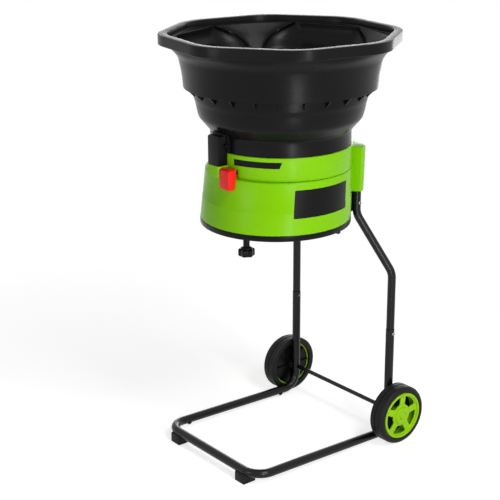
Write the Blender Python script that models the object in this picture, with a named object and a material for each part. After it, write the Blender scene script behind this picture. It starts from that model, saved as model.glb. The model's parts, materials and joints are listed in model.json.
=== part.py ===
"""Leaf shredder on a two-wheeled tube stand.

Metres, +Z up, front towards -Y. The origin is on the floor under the middle of the hopper's mouth,
and the cutter's axis is the Z axis.
"""
import math

import bmesh
import bpy
from mathutils import Matrix, Vector

GAP = 0.0003
TURN = 2 * math.pi

# Hopper mouth: a regular octagon with well rounded corners, one of them a few degrees round from +X.
RIM_TOP = 1.0525
RIM_APOTHEM = 0.2772
RIM_CORNER_ANGLE = math.radians(13.2)
RIM_CORNER_ROUND = 0.115
RIM_BAND = 0.020
LIP_DROP = 0.0245
LIP_WALL = 0.003
LEDGE_Z = 1.036
HALF_SIDE = math.radians(22.5)

# Funnel inside the mouth: four flat panels and four sloping chutes, a quarter turn apart.
PANEL_ANGLE = math.radians(111.5)
PANEL_HALF = math.radians(19.8)
CHUTE_HALF = math.radians(24.0)
CHUTE_WAIST = math.radians(2.0)
CHUTE_NARROWS = 0.034
CHUTE_RADIUS = 0.249
CHUTE_LEAN = 0.55
FUNNEL_MERGE = 0.060
FUNNEL_DEPTH = 0.091
SPOUT_RADIUS = 0.2075
SPOUT_BOTTOM = 0.930
SKIRT_BOTTOM = 0.925

# Lower bowl and its gussets.
COLLAR_RADIUS = 0.1708
COLLAR_BOTTOM = 0.7866
FLANGE_RADIUS = 0.2285
FLANGE_UNDER = 0.9262
FLANGE_TOP = 0.9297
GUSSETS = 24
GUSSET_BOTTOM = 0.912

# Motor housing: an upper ring round the head's axis, and a lower shell that leans forward.
RING_RADIUS = 0.1738
RING_TOP = 0.786
SEAM_Z = 0.730
SHELL_BOTTOM = 0.606
SHELL_TOP_RADIUS = 0.1784
SHELL_BOTTOM_RADIUS = 0.1835
SHELL_TOP_LEAN = -0.0065
SHELL_BOTTOM_LEAN = -0.016
SHELL_WALL = 0.0035
SHOULDER_INSET = 0.018
CREASE_Z = 0.660
CREASE_STEP = 0.0008
HOUSING_SIDES = 40
TUBE_SIDES = 10

# Front controls.
KEY_LEFT = -0.026
KEY_RIGHT = 0.013
KEY_FRONT = -0.201
KEY_BOTTOM = 0.7580
KEY_TOP = 0.828
PADDLE_LEFT = 0.014
PADDLE_RIGHT = 0.050
PADDLE_FRONT = -0.200
PADDLE_BOTTOM = 0.706
PADDLE_TOP = 0.7545
PADDLE_PIVOT = (0.032, -0.178, 0.7515)

# Stand: one bent tube makes the lower legs, the rails and the front crossbar.
TUBE = 0.011
UPPER_TUBE = 0.0103
RAIL_X = 0.181
LEG_Y = 0.212
CROSSBAR_Y = -0.2275
CROSSBAR_Z = 0.029
RAIL_REAR_Z = 0.0165
JOINT_Z = 0.300
SLEEVE = 0.042
SLEEVE_BORE = 0.0098
SLEEVE_PLUG = 0.0091
LEG_SCREW_Z = 0.288
UPPER_LEG_X = 0.113
UPPER_LEG_Y = 0.150
UPPER_LEG_TOP = 0.755
UPPER_BEND_Z = 0.601
LOWER_BEND_Z = 0.450
LEG_BOLT_Z = 0.630

# Wheels and axle.
AXLE_Z = 0.0766
AXLE_RADIUS = 0.0057
AXLE_END = 0.2345
AXLE_BORE = 0.0061
WHEEL_RADIUS = 0.0766
WHEEL_INNER = 0.1926
WHEEL_OUTER = 0.2355
HUB_RADIUS = 0.0605
HUB_BARREL = 0.0582
SPOKES = 5
SPOKE_PHASE = math.radians(48)

# Motor, cutter and knob, all on the head's axis but the knob.
SHAFT = 0.0060
SHAFT_BORE = 0.0063
HEAD_Z = 0.720
LINE_RADIUS = 0.0013
LINE_REACH = 0.150
LINES = 4
KNOB_Y = -0.108
KNOB_TOP = 0.540
KNOB_BOTTOM = 0.517
KNOB_RADIUS = 0.0205
STUD = 0.008

# Finishes: colour, roughness, metallic.
LIME = ((0.23, 0.60, 0.008), 0.38, 0.0)
BLACK_PLASTIC = ((0.012, 0.012, 0.013), 0.48, 0.0)
BLACK_PAINT = ((0.016, 0.016, 0.017), 0.36, 0.2)
RED = ((0.75, 0.02, 0.02), 0.35, 0.0)
RUBBER = ((0.010, 0.010, 0.010), 0.75, 0.0)
STEEL = ((0.55, 0.55, 0.56), 0.30, 1.0)
COPPER = ((0.60, 0.28, 0.14), 0.40, 1.0)
LINE_GREEN = ((0.30, 0.72, 0.02), 0.40, 0.0)

# Turns a shape made round or along Z so that it lies along X.
ALONG_X = Matrix(((0, 0, 1, 0), (1, 0, 0, 0), (0, 1, 0, 0), (0, 0, 0, 1)))


def principled(name, finish):
    """A material of its own for one sub-part."""
    colour, roughness, metallic = finish
    material = bpy.data.materials.new(name + "_finish")
    material.use_nodes = True
    shader = material.node_tree.nodes["Principled BSDF"]
    shader.inputs["Base Color"].default_value = (*colour, 1.0)
    shader.inputs["Roughness"].default_value = roughness
    shader.inputs["Metallic"].default_value = metallic
    return material


def add(name, bm, finish=None, origin=(0.0, 0.0, 0.0), sharp=35.0):
    """Turn a bmesh into a named object whose origin is the given point."""
    bmesh.ops.recalc_face_normals(bm, faces=bm.faces)
    bmesh.ops.translate(bm, verts=bm.verts, vec=-Vector(origin))
    mesh = bpy.data.meshes.new(name)
    bm.to_mesh(mesh)
    bm.free()
    mesh.shade_smooth()
    mesh.set_sharp_from_angle(angle=math.radians(sharp))
    if finish:
        mesh.materials.append(principled(name, finish))
    thing = bpy.data.objects.new(name, mesh)
    thing.location = origin
    bpy.context.collection.objects.link(thing)
    return thing


def combine(thing, tool_mesh, operation):
    """Join a hidden tool to an object, or cut it away."""
    tool = add("tool_" + thing.name + "_" + str(len(thing.modifiers)), tool_mesh)
    tool.hide_render = True
    tool.display_type = "WIRE"
    modifier = thing.modifiers.new(operation.lower(), "BOOLEAN")
    modifier.operation = operation
    modifier.solver = "EXACT"
    modifier.object = tool


def cut(thing, tool_mesh):
    combine(thing, tool_mesh, "DIFFERENCE")


def join(thing, tool_mesh):
    combine(thing, tool_mesh, "UNION")


def bevel(thing, width, segments=2, angle=40.0):
    """Round the edges sharper than an angle."""
    modifier = thing.modifiers.new("bevel", "BEVEL")
    modifier.width = width
    modifier.segments = segments
    modifier.limit_method = "ANGLE"
    modifier.angle_limit = math.radians(angle)
    modifier.use_clamp_overlap = True


def circle(radius, z, sides, lean=0.0):
    """A level ring of points; lean moves its centre along Y."""
    step = TURN / sides
    return [
        Vector((radius * math.cos(k * step), lean + radius * math.sin(k * step), z))
        for k in range(sides)
    ]


def skin(bm, rings, closed=False, caps=True):
    """Join rings of equal count with quads, and close the two ends of an open run."""
    rows = [[bm.verts.new(point) for point in ring] for ring in rings]
    pairs = list(zip(rows, rows[1:]))
    if closed:
        pairs.append((rows[-1], rows[0]))
    for low, high in pairs:
        count = len(low)
        for k in range(count):
            after = (k + 1) % count
            bm.faces.new((low[k], low[after], high[after], high[k]))
    if caps and not closed:
        bm.faces.new(rows[0][::-1])
        bm.faces.new(rows[-1])
    return rows


def loft(rings, closed=False):
    bm = bmesh.new()
    skin(bm, rings, closed)
    return bm


def revolve(profile, sides, closed=True, place=None):
    """Spin a profile of (radius, height) round Z. An open profile has both ends on the axis."""
    bm = bmesh.new()
    verts = [bm.verts.new((radius, 0.0, height)) for radius, height in profile]
    edges = [bm.edges.new(pair) for pair in zip(verts, verts[1:])]
    if closed:
        edges.append(bm.edges.new((verts[-1], verts[0])))
    bmesh.ops.spin(
        bm, geom=verts + edges, cent=(0, 0, 0), axis=(0, 0, 1),
        angle=TURN, steps=sides, use_merge=True, use_duplicate=False,
    )
    bmesh.ops.remove_doubles(bm, verts=bm.verts, dist=1e-6)
    if place:
        bmesh.ops.transform(bm, matrix=place, verts=bm.verts)
    return bm


def prism(outline, low, high, place=None):
    """Draw a flat outline up from one height to another."""
    bm = bmesh.new()
    face = bm.faces.new([bm.verts.new((x, y, low)) for x, y in outline])
    drawn = bmesh.ops.extrude_face_region(bm, geom=[face])["geom"]
    top = [part for part in drawn if isinstance(part, bmesh.types.BMVert)]
    bmesh.ops.translate(bm, verts=top, vec=(0, 0, high - low))
    if place:
        bmesh.ops.transform(bm, matrix=place, verts=bm.verts)
    return bm


def block(low, high):
    """A plain box between two corners."""
    outline = [(low[0], low[1]), (high[0], low[1]), (high[0], high[1]), (low[0], high[1])]
    return prism(outline, low[2], high[2])


def cylinder(radius, low, high, sides, place=None):
    return revolve([(0, low), (radius, low), (radius, high), (0, high)], sides, False, place)


def bore_radius(radius, sides):
    """Radius of a many-sided hole whose flats clear a round of the given radius."""
    return (radius + GAP) / math.cos(math.pi / sides)


def merged(meshes):
    """One bmesh that holds several separate bodies, for a tool."""
    whole = bmesh.new()
    for bm in meshes:
        scratch = bpy.data.meshes.new("scratch")
        bm.to_mesh(scratch)
        bm.free()
        whole.from_mesh(scratch)
        bpy.data.meshes.remove(scratch)
    return whole


def at(x, y, z):
    return Matrix.Translation((x, y, z))


def about_z(angle):
    return Matrix.Rotation(angle, 4, "Z")


def between(levels, value):
    """Read a height table of (height, radius) at one height."""
    for (low, first), (high, second) in zip(levels, levels[1:]):
        if value <= high:
            share = (value - low) / (high - low)
            return first + (second - first) * max(0.0, share)
    return levels[-1][1]


def smooth(value):
    value = min(1.0, max(0.0, value))
    return value * value * (3 - 2 * value)


# Hopper, upper part.

def octagon(angle, apothem):
    """Distance from the axis to an octagon with rounded corners."""
    offset = abs((angle - RIM_CORNER_ANGLE) % (2 * HALF_SIDE) - HALF_SIDE)
    tangent = math.atan((1 - RIM_CORNER_ROUND / apothem) * math.tan(HALF_SIDE))
    if offset <= tangent:
        return apothem / math.cos(offset)
    centre = (apothem - RIM_CORNER_ROUND) / math.cos(HALF_SIDE)
    aside = HALF_SIDE - offset
    reach = RIM_CORNER_ROUND ** 2 - (centre * math.sin(aside)) ** 2
    return centre * math.cos(aside) + math.sqrt(max(0.0, reach))


def rim_angles():
    """Seven columns for each side of the octagon: four along the side and three round the corner."""
    tangent = math.atan((1 - RIM_CORNER_ROUND / RIM_APOTHEM) * math.tan(HALF_SIDE))
    between_ends = (HALF_SIDE + tangent) / 2
    offsets = (-HALF_SIDE, -between_ends, -tangent, -tangent / 3, tangent / 3, tangent, between_ends)
    return [
        RIM_CORNER_ANGLE + HALF_SIDE * (2 * side + 1) + offset
        for side in range(8) for offset in offsets
    ]


def rim_ring(apothem, z, roundness=0.0, radius=0.0):
    """A ring that is octagonal, round, or part way between."""
    ring = []
    for angle in rim_angles():
        reach = octagon(angle, apothem) * (1 - roundness) + radius * roundness
        ring.append(Vector((reach * math.cos(angle), reach * math.sin(angle), z)))
    return ring


def drum(depth):
    """Radius of the funnel's steep round wall below the ledge."""
    levels = [(0.0, 0.2562), (0.013, 0.2545), (0.026, 0.2503), (0.040, 0.2415),
              (0.052, 0.2382), (0.065, 0.2355), (0.080, 0.2335)]
    return between(levels, depth)


def funnel_ring(depth):
    """One level of the funnel. Its columns follow the panels' and the chutes' edges."""
    merge = smooth((depth - FUNNEL_MERGE) / (FUNNEL_DEPTH - FUNNEL_MERGE))
    even = TURN / 48
    panel = PANEL_HALF * (1 - 2.2 * depth) * (1 - merge) + even * merge
    waist = max(CHUTE_WAIST, CHUTE_HALF * math.exp(-depth / CHUTE_NARROWS))
    chute = waist * (1 - merge) + 2 * even * merge
    wall = drum(depth)
    flat = wall * math.cos(panel)
    slope = CHUTE_RADIUS - CHUTE_LEAN * depth
    middle = TURN / 8
    third = (middle - chute - panel) / 3
    columns = [(-panel, wall), (0.0, flat), (panel, wall), (panel + third, wall), (panel + 2 * third, wall)]
    for share in (-1.0, -0.5, 0.0, 0.5, 1.0):
        crown = (0.2562 - CHUTE_RADIUS) * share * share * max(0.0, 1 - depth / 0.03)
        columns.append((middle + share * chute, slope + crown))
    far = middle + chute
    columns += [(far + third, wall), (far + 2 * third, wall)]
    ring = []
    for quarter in range(4):
        for offset, radius in columns:
            angle = PANEL_ANGLE + quarter * TURN / 4 + offset
            reach = radius * (1 - merge) + SPOUT_RADIUS * merge
            ring.append(Vector((reach * math.cos(angle), reach * math.sin(angle), LEDGE_Z - depth)))
    return ring


def fill_between(bm, first, second):
    """Close the flat space between two rings at one height."""
    edges = []
    for row in (first, second):
        for here, after in zip(row, row[1:] + row[:1]):
            edges.append(bm.edges.get((here, after)))
    bmesh.ops.triangle_fill(bm, edges=edges, use_beauty=True)


def make_hopper_upper():
    """Octagonal mouth, round skirt outside and shaped funnel inside, as one moulding."""
    skirt = [(0.9387, 0.2346), (0.9626, 0.2375), (0.9864, 0.2425), (0.9983, 0.2461), (1.0103, 0.2545)]
    outside = [
        rim_ring(1.0, SPOUT_BOTTOM, 1.0, 0.2108),
        rim_ring(1.0, 0.952, 1.0, 0.2160),
        rim_ring(1.0, 0.953, 1.0, 0.2290),
        rim_ring(1.0, SKIRT_BOTTOM, 1.0, 0.2308),
        rim_ring(1.0, SKIRT_BOTTOM, 1.0, 0.2336),
    ]
    outside += [rim_ring(1.0, z, 1.0, radius) for z, radius in skirt]
    under = RIM_TOP - 0.008
    lip = RIM_APOTHEM - LIP_WALL
    inner = RIM_APOTHEM - RIM_BAND
    outside += [
        rim_ring(0.2560, 1.020, 0.65, 0.2600),
        rim_ring(0.2590, 1.032, 0.25, 0.2650),
        rim_ring(0.2620, under),
        rim_ring(lip, under),
        rim_ring(lip, RIM_TOP - LIP_DROP),
        rim_ring(RIM_APOTHEM, RIM_TOP - LIP_DROP),
        rim_ring(RIM_APOTHEM, RIM_TOP - 0.0015),
        rim_ring(RIM_APOTHEM - 0.0015, RIM_TOP),
        rim_ring(inner, RIM_TOP),
        rim_ring(inner - 0.0007, LEDGE_Z),
    ]
    depths = (0.0, 0.012, 0.026, 0.040, 0.052, 0.065, 0.078, FUNNEL_DEPTH, LEDGE_Z - SPOUT_BOTTOM)
    inside = [funnel_ring(depth) for depth in depths]
    bm = bmesh.new()
    outer_rows = skin(bm, outside, caps=False)
    inner_rows = skin(bm, inside, caps=False)
    fill_between(bm, outer_rows[-1], inner_rows[0])
    fill_between(bm, outer_rows[0], inner_rows[-1])
    add("hopper_upper", bm, BLACK_PLASTIC)


# Hopper, lower part.

def make_hopper_lower():
    """Round bowl with a top flange, gussets under it, and a collar that enters the housing."""
    outside = [(0.1660, 0.7725), (0.1660, COLLAR_BOTTOM), (COLLAR_RADIUS, COLLAR_BOTTOM),
               (COLLAR_RADIUS, 0.8195), (0.1761, 0.8280), (0.1871, 0.8410), (0.1967, 0.8530),
               (0.2007, 0.8655), (0.2034, 0.8780), (0.2058, 0.8900), (0.2094, 0.9020),
               (0.2112, FLANGE_UNDER), (FLANGE_RADIUS, FLANGE_UNDER), (FLANGE_RADIUS, FLANGE_TOP)]
    inside = [(0.2078, FLANGE_TOP), (0.2060, 0.9020), (0.2020, 0.8860), (0.1970, 0.8660),
              (0.1925, 0.8545), (0.1728, 0.8310), (0.1672, 0.8210), (0.1630, 0.7725)]
    bowl = add("hopper_lower", revolve(outside + inside, HOUSING_SIDES), BLACK_PLASTIC)
    fin = [(0.2085, GUSSET_BOTTOM), (0.2120, GUSSET_BOTTOM - 0.0015), (0.2275, FLANGE_UNDER - 0.003),
           (0.2275, FLANGE_UNDER + 0.001), (0.2085, FLANGE_UNDER + 0.001)]
    upright = Matrix(((1, 0, 0, 0), (0, 0, 1, 0), (0, 1, 0, 0), (0, 0, 0, 1)))
    step = TURN / GUSSETS
    fins = [prism(fin, -0.0018, 0.0018, about_z((k + 0.31) * step) @ upright) for k in range(GUSSETS)]
    join(bowl, merged(fins))


def make_safety_key():
    """Upright block with two screwed wings, which closes the interlock when the hopper is seated."""
    side = [(KEY_FRONT, KEY_BOTTOM), (KEY_FRONT, KEY_TOP - 0.003), (KEY_FRONT + 0.003, KEY_TOP),
            (-0.1600, KEY_TOP), (-0.1600, KEY_BOTTOM)]
    key = add("safety_key", prism(side, KEY_LEFT, KEY_RIGHT, ALONG_X), BLACK_PLASTIC)
    join(key, block((KEY_LEFT - 0.010, -0.1795, 0.7900), (KEY_RIGHT + 0.010, -0.1590, KEY_TOP + 0.003)))
    seat = [(0.0, 0.700), (RING_RADIUS + 0.0012, 0.700), (RING_RADIUS + 0.0012, COLLAR_BOTTOM + GAP),
            (COLLAR_RADIUS + 0.0004, COLLAR_BOTTOM + GAP), (COLLAR_RADIUS + 0.0004, 0.8198),
            (0.1766, 0.8283), (0.1815, 0.8330), (0.0, 0.8330)]
    cut(key, revolve(seat, 96, False))
    bevel(key, 0.0008, 1, 50.0)
    for name, x in (("left", KEY_LEFT - 0.0052), ("right", KEY_RIGHT + 0.0052)):
        head = [(0, -0.1842), (0.0022, -0.1838), (0.0034, -0.1822), (0.0034, -0.1798), (0, -0.1798)]
        face_front = Matrix(((1, 0, 0, x), (0, 0, 1, 0), (0, -1, 0, 0.806), (0, 0, 0, 1)))
        add("key_screw_" + name, revolve(head, 12, False, face_front), STEEL)


# Motor housing.

def shell_circle(z):
    """Radius and forward lean of the lower housing's outer skin."""
    share = (z - SHELL_BOTTOM) / (SEAM_Z - SHELL_BOTTOM)
    radius = SHELL_BOTTOM_RADIUS + (SHELL_TOP_RADIUS - SHELL_BOTTOM_RADIUS) * share
    lean = SHELL_BOTTOM_LEAN + (SHELL_TOP_LEAN - SHELL_BOTTOM_LEAN) * share
    return radius, lean


def shell_ring(z, inset=0.0):
    radius, lean = shell_circle(z)
    return circle(radius - inset, z, HOUSING_SIDES, lean)


def shell_point(angle, z, outset):
    """A point on the lower housing's skin, at an angle seen from the shell's own centre."""
    radius, lean = shell_circle(z)
    reach = radius + outset
    return Vector((reach * math.cos(angle), lean + reach * math.sin(angle), z))


def ring_point(angle, z, outset):
    """A point on the upper housing's skin."""
    reach = RING_RADIUS + outset
    return Vector((reach * math.cos(angle), reach * math.sin(angle), z))


def curved_panel(place, low_z, high_z, start, low_end, high_end, inner, outer, steps):
    """A slab that follows a skin; the top and the bottom may end at different angles."""
    rings = []
    for k in range(steps + 1):
        share = k / steps
        low = start + (low_end - start) * share
        high = start + (high_end - start) * share
        rings.append([place(low, low_z, inner), place(low, low_z, outer),
                      place(high, high_z, outer), place(high, high_z, inner)])
    return loft(rings)


def window_panel(margin, inner, outer):
    """The bare dark panel on the housing's right side."""
    edge = margin / SHELL_TOP_RADIUS
    start = math.radians(-27.5) + edge
    end = math.radians(24.2) - edge
    return curved_panel(shell_point, 0.6455 + margin, 0.712 - margin, start, end, end, inner, outer, 12)


def strip_panel(margin, inner, outer):
    """The long dark strip at the front of the upper ring, with a slanted right end."""
    edge = margin / RING_RADIUS
    start = math.radians(-79.0) + edge
    low_end = math.radians(-41.0) - edge
    high_end = math.radians(-39.0) - edge
    return curved_panel(ring_point, 0.7615 + margin, 0.7765 - margin, start, low_end, high_end,
                        inner, outer, 10)


def make_housing():
    """Upper ring, lower shell, and the two dark panels let into them."""
    profile = [(RING_RADIUS, SEAM_Z + GAP), (RING_RADIUS, RING_TOP - 0.0018),
               (RING_RADIUS - 0.0018, RING_TOP), (0.1665, RING_TOP), (0.1665, 0.7800),
               (0.1700, 0.7765), (0.1700, SEAM_Z + GAP)]
    ring = add("upper_housing", revolve(profile, HOUSING_SIDES), LIME)
    shelf = [(KEY_LEFT - 0.006, -0.168), (KEY_LEFT - 0.006, -0.194), (KEY_LEFT - 0.003, -0.1995),
             (KEY_LEFT + 0.002, -0.2015), (KEY_RIGHT - 0.001, -0.2015), (KEY_RIGHT + 0.0007, -0.1995),
             (KEY_RIGHT + 0.0007, -0.168)]
    join(ring, prism(shelf, SEAM_Z + 2 * GAP, KEY_BOTTOM - GAP))
    cut(ring, circle_slab(0.1700, SEAM_Z - 0.01, 0.7600))
    cut(ring, strip_panel(0.0, -0.0010, 0.004))
    cut(ring, block((PADDLE_LEFT + 0.005, -0.19, 0.7350), (PADDLE_RIGHT - 0.005, -0.15, 0.7500)))
    add("strip_inset", strip_panel(GAP, -0.0010 + GAP, -0.0002), BLACK_PLASTIC)

    front_round = [shell_ring(SEAM_Z - 0.0055), shell_ring(SEAM_Z - 0.0020, 0.0012)]
    top = circle(SHELL_TOP_RADIUS, SEAM_Z - GAP, HOUSING_SIDES, SHELL_TOP_LEAN)
    for point in top:
        narrowing = 1 - SHOULDER_INSET * (0.5 - 0.5 * point.y / SHELL_TOP_RADIUS)
        point.x *= narrowing
        point.y = SHELL_TOP_LEAN + (point.y - SHELL_TOP_LEAN) * narrowing
    rings = [shell_ring(SHELL_BOTTOM, -CREASE_STEP), shell_ring(CREASE_Z - CREASE_STEP, -CREASE_STEP),
             shell_ring(CREASE_Z)]
    rings += front_round + [top]
    rings += [circle(0.1655, SEAM_Z - GAP, HOUSING_SIDES), circle(0.1655, SEAM_Z - 0.004, HOUSING_SIDES),
              shell_ring(SEAM_Z - 0.012, SHELL_WALL + 0.001), shell_ring(SHELL_BOTTOM, SHELL_WALL)]
    shell = add("lower_housing", loft(rings, closed=True), LIME)
    cut(shell, window_panel(0.0, -0.0012, 0.006))
    add("label_plate", window_panel(GAP, -0.0012 + GAP, -0.0002), BLACK_PLASTIC)


def circle_slab(radius, low, high):
    """A disc-shaped tool with the housing's own count of sides."""
    return loft([circle(radius, low, HOUSING_SIDES), circle(radius, high, HOUSING_SIDES)])


def housing_envelope(extra):
    """A solid of the housing's outer form, a little larger, to cut what fits against it."""
    low_radius, low_lean = shell_circle(SHELL_BOTTOM - 0.02)
    radius = RING_RADIUS + extra
    rings = [circle(low_radius + extra, SHELL_BOTTOM - 0.02, HOUSING_SIDES, low_lean),
             circle(SHELL_TOP_RADIUS + extra, SEAM_Z, HOUSING_SIDES, SHELL_TOP_LEAN),
             circle(radius, SEAM_Z + GAP / 2, HOUSING_SIDES), circle(radius, 0.84, HOUSING_SIDES)]
    return loft(rings)


def cover_outline(corner_x, z):
    """One level of the rear cover: flat back, rounded outer corners, front edges to the housing."""
    right = [(0.090, 0.118), (0.109, 0.1352), (corner_x - 0.006, 0.1385), (corner_x - 0.001, 0.1425),
             (corner_x, 0.150), (corner_x - 0.0035, 0.1680), (corner_x - 0.010, 0.1755),
             (corner_x - 0.018, 0.1778)]
    left = [(-x, y) for x, y in reversed(right)]
    return [Vector((x, y, z)) for x, y in right + left]


def make_rear_cover():
    """Moulded back of the housing, with a socket for each leg and a recess for the inlet."""
    rings = [cover_outline(0.1262, 0.6600), cover_outline(0.1285, 0.7160), cover_outline(0.1310, 0.7700),
             cover_outline(0.1300, 0.7720)]
    cover = add("rear_cover", loft(rings), LIME)
    cut(cover, housing_envelope(GAP))
    for side in (-1, 1):
        place = at(side * UPPER_LEG_X, UPPER_LEG_Y, 0)
        cut(cover, cylinder(bore_radius(UPPER_TUBE, 12), 0.650, UPPER_LEG_TOP + 0.001, 12, place))
    cut(cover, block((-0.0850, 0.1640, 0.6900), (-0.0550, 0.1900, 0.7120)))
    inlet_levels = [(0.0147, 0.0107, 0.1643), (0.0147, 0.0107, 0.1781), (0.0175, 0.0135, 0.1781),
                    (0.0175, 0.0135, 0.1795), (0.0125, 0.0085, 0.1795), (0.0125, 0.0085, 0.1662)]
    rings = []
    for half_width, half_height, y in inlet_levels:
        rings.append([Vector((-0.070 + half_width * i, y, 0.701 + half_height * j))
                      for i, j in ((-1, -1), (1, -1), (1, 1), (-1, 1))])
    inlet = add("power_inlet", loft(rings), BLACK_PLASTIC)
    pins = [block((x - 0.0008, 0.1655, 0.6980), (x + 0.0008, 0.1765, 0.7040)) for x in (-0.0763, -0.0637)]
    join(inlet, merged(pins))


def make_bottom_ring():
    """Black ring under the housing, with two hook tabs for a collecting bag."""
    lean = SHELL_BOTTOM_LEAN
    levels = [(0.1842, 0.5920), (0.1850, 0.5940), (0.1850, SHELL_BOTTOM - GAP), (0.1787, SHELL_BOTTOM - GAP),
              (0.1787, 0.6130), (0.1760, 0.6130), (0.1760, 0.5920)]
    rings = [circle(radius, z, HOUSING_SIDES, lean) for radius, z in levels]
    ring = add("bottom_ring", loft(rings, closed=True), BLACK_PLASTIC)
    tabs = [prism([(0.1775, -0.005), (0.1838, -0.005), (0.1838, 0.005), (0.1775, 0.005)], 0.5875, 0.5930,
                  at(0, lean, 0) @ about_z(math.radians(angle))) for angle in (16.0, 164.0)]
    join(ring, merged(tabs))


# Switch.

def make_switch():
    """Switch body behind the ring's window, and the red paddle that hinges at its top."""
    plug = [(PADDLE_LEFT + 0.0025, -0.1350), (PADDLE_LEFT + 0.0025, -0.1620), (PADDLE_LEFT + 0.0065, -0.1620),
            (PADDLE_LEFT + 0.0065, -0.1860), (PADDLE_RIGHT - 0.0065, -0.1860),
            (PADDLE_RIGHT - 0.0065, -0.1620), (PADDLE_RIGHT - 0.0025, -0.1620),
            (PADDLE_RIGHT - 0.0025, -0.1350)]
    add("switch_body", prism(plug, 0.7385, 0.7480), BLACK_PLASTIC)
    back = -0.1752
    side = [(PADDLE_FRONT + 0.0008, PADDLE_BOTTOM), (PADDLE_FRONT - 0.0004, 0.7250),
            (PADDLE_FRONT + 0.0006, PADDLE_TOP - 0.0030), (PADDLE_FRONT + 0.0045, PADDLE_TOP),
            (back, PADDLE_TOP), (back, PADDLE_BOTTOM)]
    paddle = add("switch_paddle", prism(side, PADDLE_LEFT, PADDLE_RIGHT, ALONG_X), RED, PADDLE_PIVOT)
    bevel(paddle, 0.0016, 2, 50.0)
    clearance = CREASE_STEP + 2 * GAP
    cut(paddle, loft([shell_ring(PADDLE_BOTTOM - 0.02, -clearance), shell_ring(SEAM_Z + 0.0012, -clearance)]))
    cut(paddle, block((PADDLE_LEFT + 0.0045, -0.1940, 0.7340), (PADDLE_RIGHT - 0.0045, -0.1700, 0.7505)))


# Motor and cutter.

def make_motor_mount():
    """Ring, three arms and a hub that carry the motor in the housing's open bottom."""
    lean = -0.0150
    levels = [(0.1784, 0.6136), (0.1784, 0.6225), (0.1715, 0.6225), (0.1715, 0.6136)]
    mount = add("motor_mount", loft([circle(r, z, HOUSING_SIDES, lean) for r, z in levels], closed=True),
                BLACK_PLASTIC)
    join(mount, revolve([(0.0640, 0.6060), (0.0640, 0.6420), (0.0524, 0.6420), (0.0524, 0.6060)], 24))
    for angle, reach in ((-90.0, 0.1900), (30.0, 0.1680), (150.0, 0.1680)):
        arm = [(0.0600, -0.0050), (0.0600, 0.0050), (reach, 0.0050), (reach, -0.0050)]
        join(mount, prism(arm, 0.6140, 0.6215, about_z(math.radians(angle))))
    join(mount, cylinder(0.0140, 0.5960, 0.6240, 16, at(0, KNOB_Y, 0)))
    cut(mount, cylinder(STUD + 0.0005, 0.5900, 0.6300, 16, at(0, KNOB_Y, 0)))


def make_motor():
    """Motor case and cap, and all that turns or holds inside them."""
    case = [(0, 0.5540), (0.0470, 0.5540), (0.0518, 0.5590), (0.0518, 0.6423), (0.0600, 0.6423),
            (0.0600, 0.6460), (0.0518, 0.6460), (0.0518, 0.6880), (0.0490, 0.6880), (0.0490, 0.5575),
            (0.0160, 0.5575), (0.0160, 0.5670), (0.0133, 0.5670), (0.0133, 0.5575), (0, 0.5575)]
    add("motor_case", revolve(case, 24, False), BLACK_PLASTIC)
    cap = [(0.0070, 0.6852), (0.0133, 0.6852), (0.0133, 0.6760), (0.0165, 0.6760), (0.0165, 0.6884),
           (0.0518, 0.6884), (0.0518, 0.6930), (0.0470, 0.6970), (0.0070, 0.6970)]
    add("motor_cap", revolve(cap, 24), BLACK_PLASTIC)
    ring = [(SHAFT_BORE, 0.0), (0.0130, 0.0), (0.0130, 0.0086), (SHAFT_BORE, 0.0086)]
    add("bearing_lower", revolve(ring, 16, True, at(0, 0, 0.5580)), STEEL)
    add("bearing_upper", revolve(ring, 16, True, at(0, 0, 0.6763)), STEEL)
    stator = [(0.0275, 0.5840), (0.0486, 0.5840), (0.0486, 0.6300), (0.0275, 0.6300)]
    add("stator", revolve(stator, 24), COPPER)
    core = [(SHAFT_BORE, 0.5700), (0.0170, 0.5700), (0.0170, 0.5800), (0.0262, 0.5820),
            (0.0262, 0.6320), (SHAFT_BORE, 0.6320)]
    add("rotor_core", revolve(core, 20), COPPER)
    add("motor_shaft", cylinder(SHAFT, 0.5582, 0.7400, 12), STEEL)
    blades = 8
    outline = []
    for k in range(blades):
        for share, reach in ((0.0, 0.020), (0.35, 0.042), (0.55, 0.042), (0.60, 0.020)):
            angle = TURN * (k + share) / blades
            outline.append((reach * math.cos(angle), reach * math.sin(angle)))
    fan = add("cooling_fan", prism(outline, 0.6400, 0.6520), BLACK_PLASTIC)
    cut(fan, cylinder(SHAFT_BORE, 0.63, 0.66, 12))


def line_block(angle):
    """The eyelet block that grips one cutting line."""
    outline = [(0.0640, -0.0080), (0.0800, -0.0065), (0.0835, 0.0), (0.0800, 0.0065), (0.0640, 0.0080)]
    return prism(outline, HEAD_Z, HEAD_Z + 0.0110, about_z(angle))


def radial_rod(radius, start, end, z, angle, sides):
    """A thin round rod that points out from the axis."""
    return cylinder(radius, start, end, sides, about_z(angle) @ at(0, 0, z) @ ALONG_X)


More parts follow.
